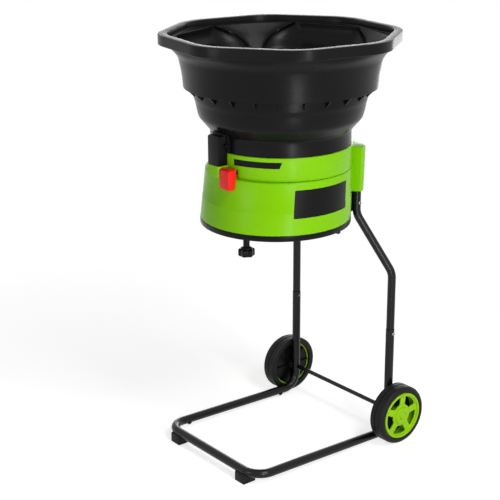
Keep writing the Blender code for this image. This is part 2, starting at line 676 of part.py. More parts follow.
def make_cutter():
    """Disc with four eyelet blocks, a cutting line in each, and the nut that holds it."""
    disc = [(SHAFT_BORE, 0.7010), (0.0150, 0.7010), (0.0150, 0.7100), (0.0820, 0.7150), (0.0840, 0.7170),
            (0.0840, 0.7205), (0.0820, 0.7225), (0.0300, 0.7245), (0.0250, 0.7320), (SHAFT_BORE, 0.7320)]
    head = add("cutter_head", revolve(disc, 24), BLACK_PLASTIC)
    angles = [TURN * (k + 0.5) / LINES for k in range(LINES)]
    join(head, merged([line_block(angle) for angle in angles]))
    line_z = HEAD_Z + 0.0066
    cut(head, merged([radial_rod(LINE_RADIUS + GAP, 0.0680, 0.0900, line_z, angle, 8) for angle in angles]))
    for k, angle in enumerate(angles):
        add("cutting_line_" + str(k + 1),
            radial_rod(LINE_RADIUS, 0.0690, LINE_REACH, line_z, angle, 8), LINE_GREEN)
    hexagon = [(0.0105 * math.cos(TURN * k / 6), 0.0105 * math.sin(TURN * k / 6)) for k in range(6)]
    nut = add("head_nut", prism(hexagon, 0.7323, 0.7440), STEEL)
    cut(nut, cylinder(SHAFT_BORE, 0.7200, 0.7410, 12))
    bevel(nut, 0.0012, 1, 50.0)


def make_knob():
    """Six-lobed knob moulded on its threaded stud."""
    sides = 36
    lobed = []
    for k in range(sides):
        angle = TURN * k / sides
        reach = KNOB_RADIUS * (0.92 + 0.08 * math.cos(6 * angle))
        lobed.append((reach * math.cos(angle), KNOB_Y + reach * math.sin(angle)))
    grip = prism(lobed, KNOB_BOTTOM, KNOB_TOP - 0.004)
    knob = add("star_knob", grip, BLACK_PLASTIC, (0, KNOB_Y, KNOB_TOP))
    bevel(knob, 0.0030, 1, 60.0)
    root = KNOB_BOTTOM + 0.01
    stud = [(0, root), (0.013, root), (0.013, KNOB_TOP - 0.002), (0.011, KNOB_TOP),
            (STUD, KNOB_TOP), (STUD, 0.6235), (0, 0.6235)]
    join(knob, revolve(stud, 16, False, at(0, KNOB_Y, 0)))


# Stand.

def bent_path(corners, radii, steps):
    """Points along straight runs joined by arcs, one radius for each inner corner."""
    path = [Vector(corners[0])]
    for before, here, after, radius in zip(corners, corners[1:], corners[2:], radii):
        here = Vector(here)
        back = (Vector(before) - here).normalized()
        ahead = (Vector(after) - here).normalized()
        half = back.angle(ahead) / 2
        centre = here + (back + ahead).normalized() * radius / math.sin(half)
        first = here + back * radius / math.tan(half) - centre
        last = here + ahead * radius / math.tan(half) - centre
        axis = first.cross(last).normalized()
        sweep = first.angle(last)
        for k in range(steps + 1):
            path.append(centre + Matrix.Rotation(sweep * k / steps, 3, axis) @ first)
    path.append(Vector(corners[-1]))
    return path


def tube_frames(path):
    """For each point of a path, two directions square to it that never twist."""
    frames = []
    side = None
    for k, point in enumerate(path):
        along = (path[min(k + 1, len(path) - 1)] - path[max(k - 1, 0)]).normalized()
        if side is None:
            side = along.orthogonal().normalized()
        side = (side - along * side.dot(along)).normalized()
        frames.append((point, along, side, along.cross(side)))
    return frames


def tube_ring(frame, radius, sides, slide=0.0):
    """A ring of points round a path, moved along it by slide."""
    point, along, side, up = frame
    step = TURN / sides
    return [point + along * slide + (side * math.cos(k * step) + up * math.sin(k * step)) * radius
            for k in range(sides)]


def leg_cross_hole(thing, side, x, y, z, radius):
    """A hole through a leg, along X."""
    cut(thing, cylinder(radius, -0.03, 0.03, 12, at(side * x, y, z) @ ALONG_X))


def base_frames():
    """The base tube's path: down a leg, along a rail, across the front and back again."""
    corners = [(-RAIL_X, LEG_Y, JOINT_Z), (-RAIL_X, LEG_Y, RAIL_REAR_Z), (-RAIL_X, CROSSBAR_Y, CROSSBAR_Z),
               (RAIL_X, CROSSBAR_Y, CROSSBAR_Z), (RAIL_X, LEG_Y, RAIL_REAR_Z), (RAIL_X, LEG_Y, JOINT_Z)]
    return tube_frames(bent_path(corners, (0.043, 0.047, 0.047, 0.043), 6))


def make_base_frame():
    """One bent tube, bored at both tops for the upper legs."""
    frames = base_frames()
    sides = TUBE_SIDES
    depth = SLEEVE + 0.002
    first, last = frames[0], frames[-1]
    rings = [tube_ring(first, SLEEVE_BORE, sides, depth), tube_ring(first, SLEEVE_BORE, sides)]
    rings += [tube_ring(frame, TUBE, sides) for frame in frames]
    rings += [tube_ring(last, SLEEVE_BORE, sides), tube_ring(last, SLEEVE_BORE, sides, -depth)]
    frame = add("base_frame", loft(rings), BLACK_PAINT)
    for side in (-1, 1):
        leg_cross_hole(frame, side, RAIL_X, LEG_Y, AXLE_Z, AXLE_BORE)
        leg_cross_hole(frame, side, RAIL_X, LEG_Y, LEG_SCREW_Z, 0.0029)


def dome_screw(place, head, shank, length):
    """A domed screw whose shank runs down -Z from the underside of its head."""
    profile = [(0, 0.0030), (head * 0.6, 0.0026), (head, 0.0012), (head, 0.0), (shank, 0.0),
               (shank, -length), (0, -length)]
    return revolve(profile, 10, False, place)


def make_leg(name, side):
    """Upper leg with two bends, its joint screw, its bracket and the bolt into the bracket."""
    corners = [(side * UPPER_LEG_X, UPPER_LEG_Y, UPPER_LEG_TOP),
               (side * UPPER_LEG_X, UPPER_LEG_Y, UPPER_BEND_Z),
               (side * RAIL_X, LEG_Y, LOWER_BEND_Z), (side * RAIL_X, LEG_Y, JOINT_Z)]
    frames = tube_frames(bent_path(corners, (0.050, 0.050), 4))
    sides = TUBE_SIDES
    rings = [tube_ring(frame, UPPER_TUBE, sides) for frame in frames[:-1]]
    end = frames[-1]
    rings += [tube_ring(end, UPPER_TUBE, sides, -0.010), tube_ring(end, SLEEVE_PLUG, sides, -0.004),
              tube_ring(end, SLEEVE_PLUG, sides, SLEEVE)]
    leg = add("upper_leg_" + name, loft(rings), BLACK_PAINT)
    leg_cross_hole(leg, side, RAIL_X, LEG_Y, LEG_SCREW_Z, 0.0029)
    leg_cross_hole(leg, side, UPPER_LEG_X, UPPER_LEG_Y, LEG_BOLT_Z, 0.0034)

    outward = Matrix.Scale(side, 4, (1, 0, 0)) @ ALONG_X
    seat = at(side * (RAIL_X + TUBE + GAP), LEG_Y, LEG_SCREW_Z) @ outward
    add("leg_screw_" + name, dome_screw(seat, 0.0042, 0.0025, 0.0215), STEEL)

    low = (0.084, 0.128, 0.6070)
    high = (0.1085, 0.1590, 0.6560)
    xs = sorted((side * low[0], side * high[0]))
    body = block((xs[0], low[1], low[2]), (xs[1], high[1], high[2]))
    bracket = add("leg_bracket_" + name, body, BLACK_PAINT)
    cut(bracket, housing_envelope(CREASE_STEP + GAP))
    place = at(side * UPPER_LEG_X, UPPER_LEG_Y, 0)
    cut(bracket, cylinder(bore_radius(UPPER_TUBE, 12), 0.59, 0.67, 12, place))
    leg_cross_hole(bracket, side, 0.1000, UPPER_LEG_Y, LEG_BOLT_Z, 0.0034)
    seat = at(side * (UPPER_LEG_X + UPPER_TUBE + GAP), UPPER_LEG_Y, LEG_BOLT_Z) @ outward
    add("leg_bolt_" + name, dome_screw(seat, 0.0046, 0.0030, 0.0290), STEEL)


def rail_z(y):
    """Height of a rail's centre line, which drops towards the wheels."""
    return CROSSBAR_Z + (RAIL_REAR_Z - CROSSBAR_Z) * (y - CROSSBAR_Y) / (LEG_Y - CROSSBAR_Y)


def make_feet():
    """Two block feet under the crossbar and four small studs under the rails."""
    for name, side in (("left", -1), ("right", 1)):
        outline = [(-0.2395, 0.0), (-0.2415, 0.002), (-0.2415, 0.024), (-0.236, 0.030), (-0.195, 0.030),
                   (-0.195, 0.002), (-0.197, 0.0)]
        low, high = sorted((side * 0.116, side * 0.150))
        foot = add("front_foot_" + name, prism(outline, low, high, ALONG_X), RUBBER)
        cut(foot, loft([tube_ring(frame, TUBE + 2 * GAP, TUBE_SIDES) for frame in base_frames()]))
    spots = [(-RAIL_X, -0.165), (-RAIL_X, 0.149), (RAIL_X, -0.165), (RAIL_X, 0.149)]
    for k, (x, y) in enumerate(spots):
        under = rail_z(y) - TUBE
        stud = [(0, under - 0.0035), (0.0040, under - 0.0035), (0.0055, under - 0.0020),
                (0.0055, under - GAP), (0, under - GAP)]
        add("rail_stud_" + str(k + 1), revolve(stud, 12, False, at(x, y, 0)), RUBBER)


# Wheels.

def sector_window(angle):
    """The opening between two spokes, with rounded corners."""
    inner, outer = 0.0300, 0.0500
    points = []
    for reach, halves in ((inner, (0.15, 0.27)), (inner + 0.003, (0.34,)), (outer - 0.003, (0.43,)),
                          (outer, (0.37, 0.14))):
        points += [(reach, half) for half in halves]
    left = [(reach, -half) for reach, half in reversed(points)]
    outline = [(reach * math.cos(turn), reach * math.sin(turn)) for reach, turn in points + left]
    return prism(outline, 0.210, 0.250, about_z(angle))


def make_wheel(name, side):
    """Tyre, spoked hub, ribbed inner core, bush, washer and end cap, all on the axle."""
    axle = at(0, LEG_Y, AXLE_Z) @ Matrix.Scale(side, 4, (1, 0, 0)) @ ALONG_X
    pivot = (side * 0.218, LEG_Y, AXLE_Z)
    seat = HUB_RADIUS + GAP
    tyre = [(seat, 0.1940), (0.0700, WHEEL_INNER), (0.0745, 0.1938), (WHEEL_RADIUS, 0.1960),
            (WHEEL_RADIUS, 0.2090), (WHEEL_RADIUS - 0.0015, 0.2115), (WHEEL_RADIUS, 0.2140),
            (WHEEL_RADIUS, 0.2270), (0.0750, 0.2310), (0.0690, WHEEL_OUTER), (seat, 0.2345)]
    add("tyre_" + name, revolve(tyre, 32, True, axle), RUBBER, pivot)

    hub = [(0.0108, 0.2030), (0.0160, 0.2030), (0.0160, 0.2250), (HUB_BARREL, 0.2250), (HUB_BARREL, 0.1960),
           (HUB_RADIUS, 0.1960), (HUB_RADIUS, 0.2340), (0.0585, 0.2360), (0.0545, 0.2360),
           (0.0530, 0.2310), (0.0235, 0.2310), (0.0220, 0.2360), (0.0108, 0.2360)]
    wheel = add("wheel_hub_" + name, revolve(hub, 26, True, axle), LIME, pivot)
    windows = merged([sector_window(TURN * k / SPOKES) for k in range(SPOKES)])
    bmesh.ops.transform(windows, matrix=axle @ about_z(SPOKE_PHASE), verts=windows.verts)
    cut(wheel, windows)

    core_edge = HUB_BARREL - 2 * GAP
    core = [(0.0108, 0.1930), (0.0160, 0.1930), (0.0160, 0.1965), (0.0540, 0.1965), (0.0540, 0.1930),
            (core_edge, 0.1930), (core_edge, 0.2000), (0.0108, 0.2000)]
    inner = add("wheel_core_" + name, revolve(core, 20, True, axle), BLACK_PLASTIC, pivot)
    rib = [(0.0140, -0.0010), (0.0140, 0.0010), (0.0555, 0.0010), (0.0555, -0.0010)]
    ribs = merged([prism(rib, 0.1936, 0.1975, about_z(TURN * k / 8)) for k in range(8)])
    bmesh.ops.transform(ribs, matrix=axle, verts=ribs.verts)
    join(inner, ribs)

    bush = [(AXLE_BORE, 0.1960), (0.0104, 0.1960), (0.0104, 0.2325), (AXLE_BORE, 0.2325)]
    add("wheel_bush_" + name, revolve(bush, 12, True, axle), STEEL, pivot)
    washer = [(AXLE_BORE, 0.1925), (0.0100, 0.1925), (0.0100, 0.1945), (AXLE_BORE, 0.1945)]
    add("axle_washer_" + name, revolve(washer, 12, True, axle), STEEL)
    cap = [(AXLE_BORE, 0.2330), (0.0100, 0.2330), (0.0100, 0.2362), (0.0080, 0.2372), (0, 0.2378),
           (0, 0.2350), (AXLE_BORE, 0.2350)]
    add("axle_cap_" + name, revolve_cap(cap, axle), LIME)


def revolve_cap(profile, place):
    """A cup whose middle reaches the axis on both faces."""
    start = profile.index((0, 0.2350))
    ordered = profile[start:] + profile[:start]
    return revolve(ordered, 12, False, place)


def make_axle():
    rod = cylinder(AXLE_RADIUS, -AXLE_END, AXLE_END, 12, at(0, LEG_Y, AXLE_Z) @ ALONG_X)
    add("axle", rod, BLACK_PAINT)


def build():
    for old in list(bpy.data.objects):
        bpy.data.objects.remove(old, do_unlink=True)
    make_hopper_upper()
    make_hopper_lower()
    make_safety_key()
    make_housing()
    make_rear_cover()
    make_bottom_ring()
    make_switch()
    make_motor_mount()
    make_motor()
    make_cutter()
    make_knob()
    make_base_frame()
    make_feet()
    make_axle()
    for name, side in (("left", -1), ("right", 1)):
        make_leg(name, side)
        make_wheel(name, side)


build()
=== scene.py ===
"""Finishes, finer mouldings, studio and camera for the leaf shredder.

Metres in the CAD's own frame: +Z up, front towards -Y, floor at z = 0, the cutter's axis on Z.
"""

import json
import math

import bmesh
import bpy
from mathutils import Matrix, Vector


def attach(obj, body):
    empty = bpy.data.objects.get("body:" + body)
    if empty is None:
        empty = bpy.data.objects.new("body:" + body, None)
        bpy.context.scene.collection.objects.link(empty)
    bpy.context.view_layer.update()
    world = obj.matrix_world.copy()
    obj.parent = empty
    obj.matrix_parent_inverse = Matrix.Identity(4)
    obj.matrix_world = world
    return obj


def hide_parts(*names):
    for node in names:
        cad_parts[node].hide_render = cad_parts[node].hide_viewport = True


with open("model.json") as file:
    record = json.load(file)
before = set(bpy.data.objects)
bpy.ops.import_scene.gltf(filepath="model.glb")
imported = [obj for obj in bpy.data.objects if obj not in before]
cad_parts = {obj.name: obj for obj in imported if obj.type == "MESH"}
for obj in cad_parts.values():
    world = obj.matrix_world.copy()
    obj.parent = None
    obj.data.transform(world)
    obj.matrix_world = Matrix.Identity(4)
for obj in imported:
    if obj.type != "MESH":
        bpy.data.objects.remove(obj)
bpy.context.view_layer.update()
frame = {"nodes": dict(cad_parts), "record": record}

TURN = 2 * math.pi
ALONG_X = Matrix(((0, 0, 1, 0), (1, 0, 0, 0), (0, 1, 0, 0), (0, 0, 0, 1)))
SHARP_EDGE = math.radians(32)

# Play between parts that meet, and the sides of the large round forms.
GAP = 0.0003
ROUND_SIDES = 144

# The photograph's camera.
CAMERA_AT = (2.26375, -1.91456, 1.49544)
CAMERA_TURN = 51.24
CAMERA_PITCH = 18.41
CAMERA_ROLL = -0.30
LENS = 90.37

# Hopper mouth and funnel.
RIM_TOP = 1.0525
RIM_APOTHEM = 0.2772
RIM_CORNER_ANGLE = math.radians(13.2)
RIM_CORNER_ROUND = 0.115
RIM_BAND = 0.020
LIP_DROP = 0.0245
LEDGE_Z = 1.036
HALF_SIDE = math.radians(22.5)
PANEL_ANGLE = math.radians(111.5)
PANEL_HALF = math.radians(19.8)
CHUTE_HALF = math.radians(24.0)
CHUTE_WAIST = math.radians(2.0)
CHUTE_RADIUS = 0.249
CHUTE_LEAN = 0.55
CHUTE_NARROWS = 0.034
CHUTE_BEAD = 0.0016
CHUTE_CROWN_DEPTH = 0.03
HALF_CHUTE = [(0.0, 0.0), (0.2, 0.0), (0.45, 0.0), (0.7, 0.0), (0.88, 0.0), (0.94, 0.3), (0.975, 1.0),
              (1.0, 0.6)]
FLUTE_COLUMNS = 9
PANEL_TAPER = 2.2
FUNNEL_MERGE = 0.060
FUNNEL_DEPTH = 0.091
SPOUT_RADIUS = 0.2075
SPOUT_BOTTOM = 0.930
GUSSETS = 24
GUSSET_PHASE = 0.27
GUSSET_HALF = 0.0018

# Housing. The lower shell has a radius and a place along Y at its bottom and at its top.
RING_RADIUS = 0.1738
RING_BORE = 0.1700
RING_LIP = 0.1665
RING_TOP = 0.786
RING_EDGE = 0.0022
COLLAR_RADIUS = 0.1708
COLLAR_BOTTOM = 0.7866
SEAM_Z = 0.730
SHELL_BOTTOM = 0.606
SHELL_LOW = (0.1835, -0.016)
SHELL_HIGH = (0.1784, -0.0065)
SHELL_WALL = 0.0035
SHELL_BORE = 0.1655
SHOULDER_INSET = 0.018
SHOULDER_HEIGHT = 0.0055
CREASE_Z = 0.660
CREASE_STEP = 0.0008
LABEL_SPAN = (-27.5, 24.2)
LABEL_HEIGHT = (0.6455, 0.712)
STRIP_SPAN = (-79.0, -41.0)
STRIP_HEIGHT = (0.7615, 0.7765)
STRIP_SLANT = 2.0
HOOK_ANGLES = (16.0, 164.0)

# Front controls.
KEY_LEFT = -0.026
KEY_RIGHT = 0.013
KEY_FRONT = -0.201
KEY_BOTTOM = 0.758
KEY_TOP = 0.828
PADDLE_LEFT = 0.014
PADDLE_RIGHT = 0.050
PADDLE_FRONT = -0.200
PADDLE_BACK = -0.1752
PADDLE_BOTTOM = 0.706
PADDLE_TOP = 0.7545
KNOB_Y = -0.108
KNOB_TOP = 0.540
KNOB_BOTTOM = 0.517
KNOB_RADIUS = 0.0205
STUD = 0.008

# Stand and wheels.
TUBE = 0.011
UPPER_TUBE = 0.0103
TUBE_SIDES = 32
RAIL_X = 0.181
LEG_Y = 0.212
CROSSBAR_Y = -0.2275
CROSSBAR_Z = 0.029
RAIL_REAR_Z = 0.0165
STUD_TURN = math.radians(45)
JOINT_Z = 0.300
LEG_SCREW_Z = 0.288
UPPER_LEG_X = 0.113
UPPER_LEG_Y = 0.150
UPPER_LEG_TOP = 0.755
UPPER_BEND_Z = 0.601
LOWER_BEND_Z = 0.450
LEG_BOLT_Z = 0.630
LEG_SOCKET = 0.0109
LEG_PLUG = 0.0091
LEG_BEND = 0.050
PLUG_SLEEVE = 0.0098
SCREW_HOLE = 0.0029
FRONT_BEND = 0.047
REAR_BEND = 0.043
FOOT_SPAN = (0.116, 0.150)
STUD_FRONT_Y = -0.165
STUD_REAR_Y = 0.149
AXLE_Z = 0.0766
AXLE_RADIUS = 0.0057
AXLE_END = 0.2345
WHEEL_RADIUS = 0.0766
WHEEL_INNER = 0.1926
WHEEL_OUTER = 0.2355
HUB_RADIUS = 0.0605
HUB_BARREL = 0.0574
HUB_BORE = 0.0108
HUB_BOSS = 0.0160
SPOKES = 5
SPOKE_PHASE = math.radians(48)
CORE_RIBS = 8
TYRE_GROOVES = ((0.2010, 0.0007, 0.0007), (0.2115, 0.0022, 0.0014), (0.2220, 0.0007, 0.0007))


# Materials.

GRAIN_HEIGHT = 0.0004


def wire(tree, source, output, target, name):
    tree.links.new(source.outputs[output], target.inputs[name])


def noise(tree, place, scale, detail):
    """A noise texture in the object's own space."""
    node = tree.nodes.new("ShaderNodeTexNoise")
    node.inputs["Scale"].default_value = scale
    node.inputs["Detail"].default_value = detail
    wire(tree, place, "Object", node, "Vector")
    return node


def remap(tree, source, output, start, end, low, high):
    """Carry a value from one range over to another."""
    node = tree.nodes.new("ShaderNodeMapRange")
    node.inputs["From Min"].default_value = start
    node.inputs["From Max"].default_value = end
    node.inputs["To Min"].default_value = low
    node.inputs["To Max"].default_value = high
    wire(tree, source, output, node, "Value")
    return node


def vary_tone(tree, shader, place, colour, mottle, broad):
    """Lighten and darken the colour a little in broad patches."""
    paint = tree.nodes.new("ShaderNodeMix")
    paint.data_type = "RGBA"
    dark = [channel * (1 - mottle) for channel in colour]
    light = [min(1.0, channel * (1 + mottle)) for channel in colour]
    paint.inputs["A"].default_value = (*dark, 1.0)
    paint.inputs["B"].default_value = (*light, 1.0)
    wire(tree, noise(tree, place, broad, 5.0), "Fac", paint, "Factor")
    wire(tree, paint, "Result", shader, "Base Color")


def vary_gloss(tree, shader, place, roughness, spread, scale):
    """Let the roughness drift either side of its mean."""
    patches = noise(tree, place, scale, 4.0)
    gloss = remap(tree, patches, "Fac", 0.3, 0.7, roughness - spread / 2, roughness + spread / 2)
    wire(tree, gloss, "Result", shader, "Roughness")


def add_grain(tree, shader, place, grain, relief):
    bump = tree.nodes.new("ShaderNodeBump")
    bump.inputs["Strength"].default_value = relief
    bump.inputs["Distance"].default_value = GRAIN_HEIGHT
    wire(tree, noise(tree, place, grain, 2.0), "Fac", bump, "Height")
    wire(tree, bump, "Normal", shader, "Normal")


def finish(name, colour, roughness, metallic=0.0, specular=0.5, mottle=0.08, spread=0.08,
           grain=900.0, relief=0.06, broad=9.0):
    """A moulded, painted or metal surface: broad tone changes, uneven gloss and a fine grain."""
    material = bpy.data.materials.new(name)
    material.use_nodes = True
    tree = material.node_tree
    shader = tree.nodes["Principled BSDF"]
    shader.inputs["Metallic"].default_value = metallic
    shader.inputs["Specular IOR Level"].default_value = specular
    place = tree.nodes.new("ShaderNodeTexCoord")
    vary_tone(tree, shader, place, colour, mottle, broad)
    vary_gloss(tree, shader, place, roughness, spread, broad * 6)
    add_grain(tree, shader, place, grain, relief)
    return material


LOOKS = {
    "black_plastic": finish("black_plastic", (0.0042, 0.0042, 0.0046), 0.29, specular=0.12, spread=0.05,
                            grain=700.0, relief=0.04, mottle=0.12),
    "lime_plastic": finish("lime_plastic", (0.222, 0.578, 0.001), 0.28, specular=0.12, spread=0.05,
                           mottle=0.03, grain=500.0, relief=0.03),
    # The hub's finish is the same lime plastic with a lighter base colour. The extra lightness is painted
    # light that brightens the hub and the axle cap, standing in for a lamp.
    "lime_hub_painted_light": finish("lime_hub_painted_light", (0.35, 0.71, 0.004), 0.36, specular=0.15, spread=0.06,
                       mottle=0.04, grain=600.0, relief=0.03),
    "red_plastic": finish("red_plastic", (0.86, 0.014, 0.008), 0.30, specular=0.20, mottle=0.05,
                          grain=600.0, relief=0.03),
    "black_paint": finish("black_paint", (0.0042, 0.0042, 0.0046), 0.22, specular=0.25, mottle=0.10,
                          spread=0.08, grain=420.0, relief=0.07),
    "rubber": finish("rubber", (0.0070, 0.0070, 0.0070), 0.55, specular=0.15, mottle=0.20, spread=0.12,
                     grain=800.0, relief=0.14),
    "tyre": finish("tyre", (0.0072, 0.0072, 0.0074), 0.50, specular=0.17, mottle=0.22, spread=0.14,
                   grain=650.0, relief=0.12),
    "steel": finish("steel", (0.22, 0.22, 0.23), 0.38, metallic=1.0, mottle=0.10, spread=0.14,
                    grain=1400.0, relief=0.05, broad=30.0),
    "bush": finish("bush", (0.30, 0.29, 0.26), 0.45, specular=0.3, mottle=0.06, relief=0.05),
    "motor_core": finish("motor_core", (0.40, 0.22, 0.13), 0.42, metallic=0.8, mottle=0.18,
                         spread=0.16, grain=260.0, relief=0.20, broad=40.0),
    "cutting_line": finish("cutting_line", (0.28, 0.66, 0.02), 0.36, specular=0.3, mottle=0.07,
                           grain=1200.0, relief=0.06),
}


# Mesh helpers.

def circle(radius, z, sides, lean=0.0):
    """A level ring of points; lean moves its centre along Y."""
    step = TURN / sides
    return [Vector((radius * math.cos(k * step), lean + radius * math.sin(k * step), z))
            for k in range(sides)]


def skin(bm, rings, closed=False, caps=True):
    """Join rings of equal count with quads, and close the two ends of an open run."""
    rows = [[bm.verts.new(point) for point in ring] for ring in rings]
    pairs = list(zip(rows, rows[1:]))
    if closed:
        pairs.append((rows[-1], rows[0]))
    for low, high in pairs:
        for k in range(len(low)):
            after = (k + 1) % len(low)
            bm.faces.new((low[k], low[after], high[after], high[k]))
    if caps and not closed:
        bm.faces.new(rows[0][::-1])
        bm.faces.new(rows[-1])
    return rows


def loft(rings, closed=False):
    bm = bmesh.new()
    skin(bm, rings, closed)
    return bm


def revolve(profile, sides, place=None):
    """Spin a profile of (radius, height) round Z. One that starts on the axis also ends there."""
    bm = bmesh.new()
    verts = [bm.verts.new((radius, 0.0, height)) for radius, height in profile]
    edges = [bm.edges.new(pair) for pair in zip(verts, verts[1:])]
    if profile[0][0] > 0:
        edges.append(bm.edges.new((verts[-1], verts[0])))
    bmesh.ops.spin(bm, geom=verts + edges, cent=(0, 0, 0), axis=(0, 0, 1), angle=TURN, steps=sides,
                   use_merge=True, use_duplicate=False)
    bmesh.ops.remove_doubles(bm, verts=bm.verts, dist=1e-6)
    if place:
        bmesh.ops.transform(bm, matrix=place, verts=bm.verts)
    return bm


def cylinder(radius, low, high, sides, place=None):
    return revolve([(0, low), (radius, low), (radius, high), (0, high)], sides, place)


def prism(outline, low, high, place=None):
    """Draw a flat outline up from one height to another."""
    bm = bmesh.new()
    face = bm.faces.new([bm.verts.new((x, y, low)) for x, y in outline])
    drawn = bmesh.ops.extrude_face_region(bm, geom=[face])["geom"]
    top = [part for part in drawn if isinstance(part, bmesh.types.BMVert)]
    bmesh.ops.translate(bm, verts=top, vec=(0, 0, high - low))
    if place:
        bmesh.ops.transform(bm, matrix=place, verts=bm.verts)
    return bm


def block(low, high):
    """A plain box between two corners."""
    outline = [(low[0], low[1]), (high[0], low[1]), (high[0], high[1]), (low[0], high[1])]
    return prism(outline, low[2], high[2])


def merged(meshes):
    """One bmesh that holds several separate bodies."""
    whole = bmesh.new()
    for bm in meshes:
        scratch = bpy.data.meshes.new("scratch")
        bm.to_mesh(scratch)
        bm.free()
        whole.from_mesh(scratch)
        bpy.data.meshes.remove(scratch)
    return whole


def at(x, y, z):
    return Matrix.Translation((x, y, z))


def about_z(angle):
    return Matrix.Rotation(angle, 4, "Z")


def smoothed(points, steps):
    """Points on a curve that runs evenly through a few given ones."""
    path = []
    for k in range(len(points) - 1):
        before = Vector(points[max(k - 1, 0)])
        here = Vector(points[k])
        after = Vector(points[k + 1])
        beyond = Vector(points[min(k + 2, len(points) - 1)])
        for step in range(steps):
            t = step / steps
            path.append(0.5 * (2 * here + (after - before) * t
                               + (2 * before - 5 * here + 4 * after - beyond) * t ** 2
                               + (3 * here - before - 3 * after + beyond) * t ** 3))
    path.append(Vector(points[-1]))
    return path


def rounded(corners, radius, steps=5):
    """A flat outline whose corners are arcs."""
    outline = []
    for k, corner in enumerate(corners):
        here = Vector(corner)
        back = (Vector(corners[k - 1]) - here).normalized()
        ahead = (Vector(corners[(k + 1) % len(corners)]) - here).normalized()
        half = back.angle(ahead) / 2
        centre = here + (back + ahead).normalized() * radius / math.sin(half)
        first = here + back * radius / math.tan(half) - centre
        last = here + ahead * radius / math.tan(half) - centre
        start = math.atan2(first.y, first.x)
        sweep = (math.atan2(last.y, last.x) - start + math.pi) % TURN - math.pi
        for step in range(steps + 1):
            angle = start + sweep * step / steps
            outline.append((centre.x + radius * math.cos(angle), centre.y + radius * math.sin(angle)))
    return outline


def wrapped(outline, inner, outer, radius, place, steps):
    """Draw a flat outline of (length, height) up to a slab and wrap it round a skin."""
    bm = prism(outline, inner, outer)
    low = min(x for x, height in outline)
    high = max(x for x, height in outline)
    for k in range(1, steps):
        here = low + (high - low) * k / steps
        bmesh.ops.bisect_plane(bm, geom=bm.verts[:] + bm.edges[:] + bm.faces[:],
                               plane_co=(here, 0, 0), plane_no=(1, 0, 0))
    for vert in bm.verts:
        vert.co = place(vert.co.x / radius, vert.co.y, vert.co.z)
    return bm


def bent_path(corners, radii, steps):
    """Points along straight runs joined by arcs, one radius for each inner corner."""
    path = [Vector(corners[0])]
    for before, here, after, radius in zip(corners, corners[1:], corners[2:], radii):
        here = Vector(here)
        back = (Vector(before) - here).normalized()
        ahead = (Vector(after) - here).normalized()
        half = back.angle(ahead) / 2
        centre = here + (back + ahead).normalized() * radius / math.sin(half)
        first = here + back * radius / math.tan(half) - centre
        last = here + ahead * radius / math.tan(half) - centre
        axis = first.cross(last).normalized()
        sweep = first.angle(last)
        for k in range(steps + 1):
            path.append(centre + Matrix.Rotation(sweep * k / steps, 3, axis) @ first)
    path.append(Vector(corners[-1]))
    return path


def tube(path, radius, sides, plug=0.0):
    """A round tube along a path, never twisted. It may end in a narrower plug that goes into the next."""
    rings = []
    side = None
    last = len(path) - 1
    for k, point in enumerate(path):
        along = (path[min(k + 1, last)] - path[max(k - 1, 0)]).normalized()
        if side is None:
            side = along.orthogonal()
        side = (side - along * side.dot(along)).normalized()
        up = along.cross(side)
        turns = [side * math.cos(TURN * n / sides) + up * math.sin(TURN * n / sides) for n in range(sides)]
        steps = [(0.0, radius)]
        if k == 0:
            steps = [(0.0, radius - 0.0008), (0.0008, radius)]
        elif k == last and plug:
            steps = [(-0.0014, radius), (-0.0006, radius - 0.0006), (-0.0006, plug), (0.0420, plug)]
        elif k == last:
            steps = [(-0.0008, radius), (0.0, radius - 0.0008)]
        rings += [[point + along * slide + turn * reach for turn in turns] for slide, reach in steps]
    return loft(rings)


def eased(value):
    """A share from 0 to 1 that starts and ends gently."""
    value = min(1.0, max(0.0, value))
    return value * value * (3 - 2 * value)


def thing_from(name, bm):
    bmesh.ops.recalc_face_normals(bm, faces=bm.faces)
    mesh = bpy.data.meshes.new(name)
    bm.to_mesh(mesh)
    bm.free()
    thing = bpy.data.objects.new(name, mesh)
    bpy.context.scene.collection.objects.link(thing)
    return thing


def soften(thing, width, segments, angle):
    """Round the edges sharper than an angle."""
    modifier = thing.modifiers.new("round", "BEVEL")
    modifier.width = width
    modifier.segments = segments
    modifier.limit_method = "ANGLE"
    modifier.angle_limit = math.radians(angle)


def shape(name, bm, cuts=(), joins=(), round_first=0.0, round_last=0.0, segments=2, angle=35.0):
    """Carve and round a mesh, and return it as a finished object with its modifiers applied."""
    thing = thing_from(name, bm)
    tools = []
    if round_first:
        soften(thing, round_first, segments, angle)
    for operation, meshes in (("UNION", joins), ("DIFFERENCE", cuts)):
        for tool_mesh in meshes:
            tool = thing_from(name + "_tool", tool_mesh)
            tools.append(tool)
            modifier = thing.modifiers.new("carve", "BOOLEAN")
            modifier.operation = operation
            modifier.solver = "EXACT"
            modifier.object = tool
    if round_last:
        soften(thing, round_last, segments, angle)
    bpy.context.view_layer.update()
    applied = bpy.data.meshes.new_from_object(thing.evaluated_get(bpy.context.evaluated_depsgraph_get()))
    thing.modifiers.clear()
    thing.data = applied
    for tool in tools:
        bpy.data.objects.remove(tool, do_unlink=True)
    applied.shade_smooth()
    applied.set_sharp_from_angle(angle=SHARP_EDGE)
    return thing


def dress(thing, look, body, *nodes, slot=None):
    """Give a piece its finish and its body, and let it stand for the CAD nodes it refines."""
    thing.data.materials.clear()
    thing.data.materials.append(LOOKS[look])
    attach(thing, body)
    if nodes:
        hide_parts(*nodes)


# Hopper.

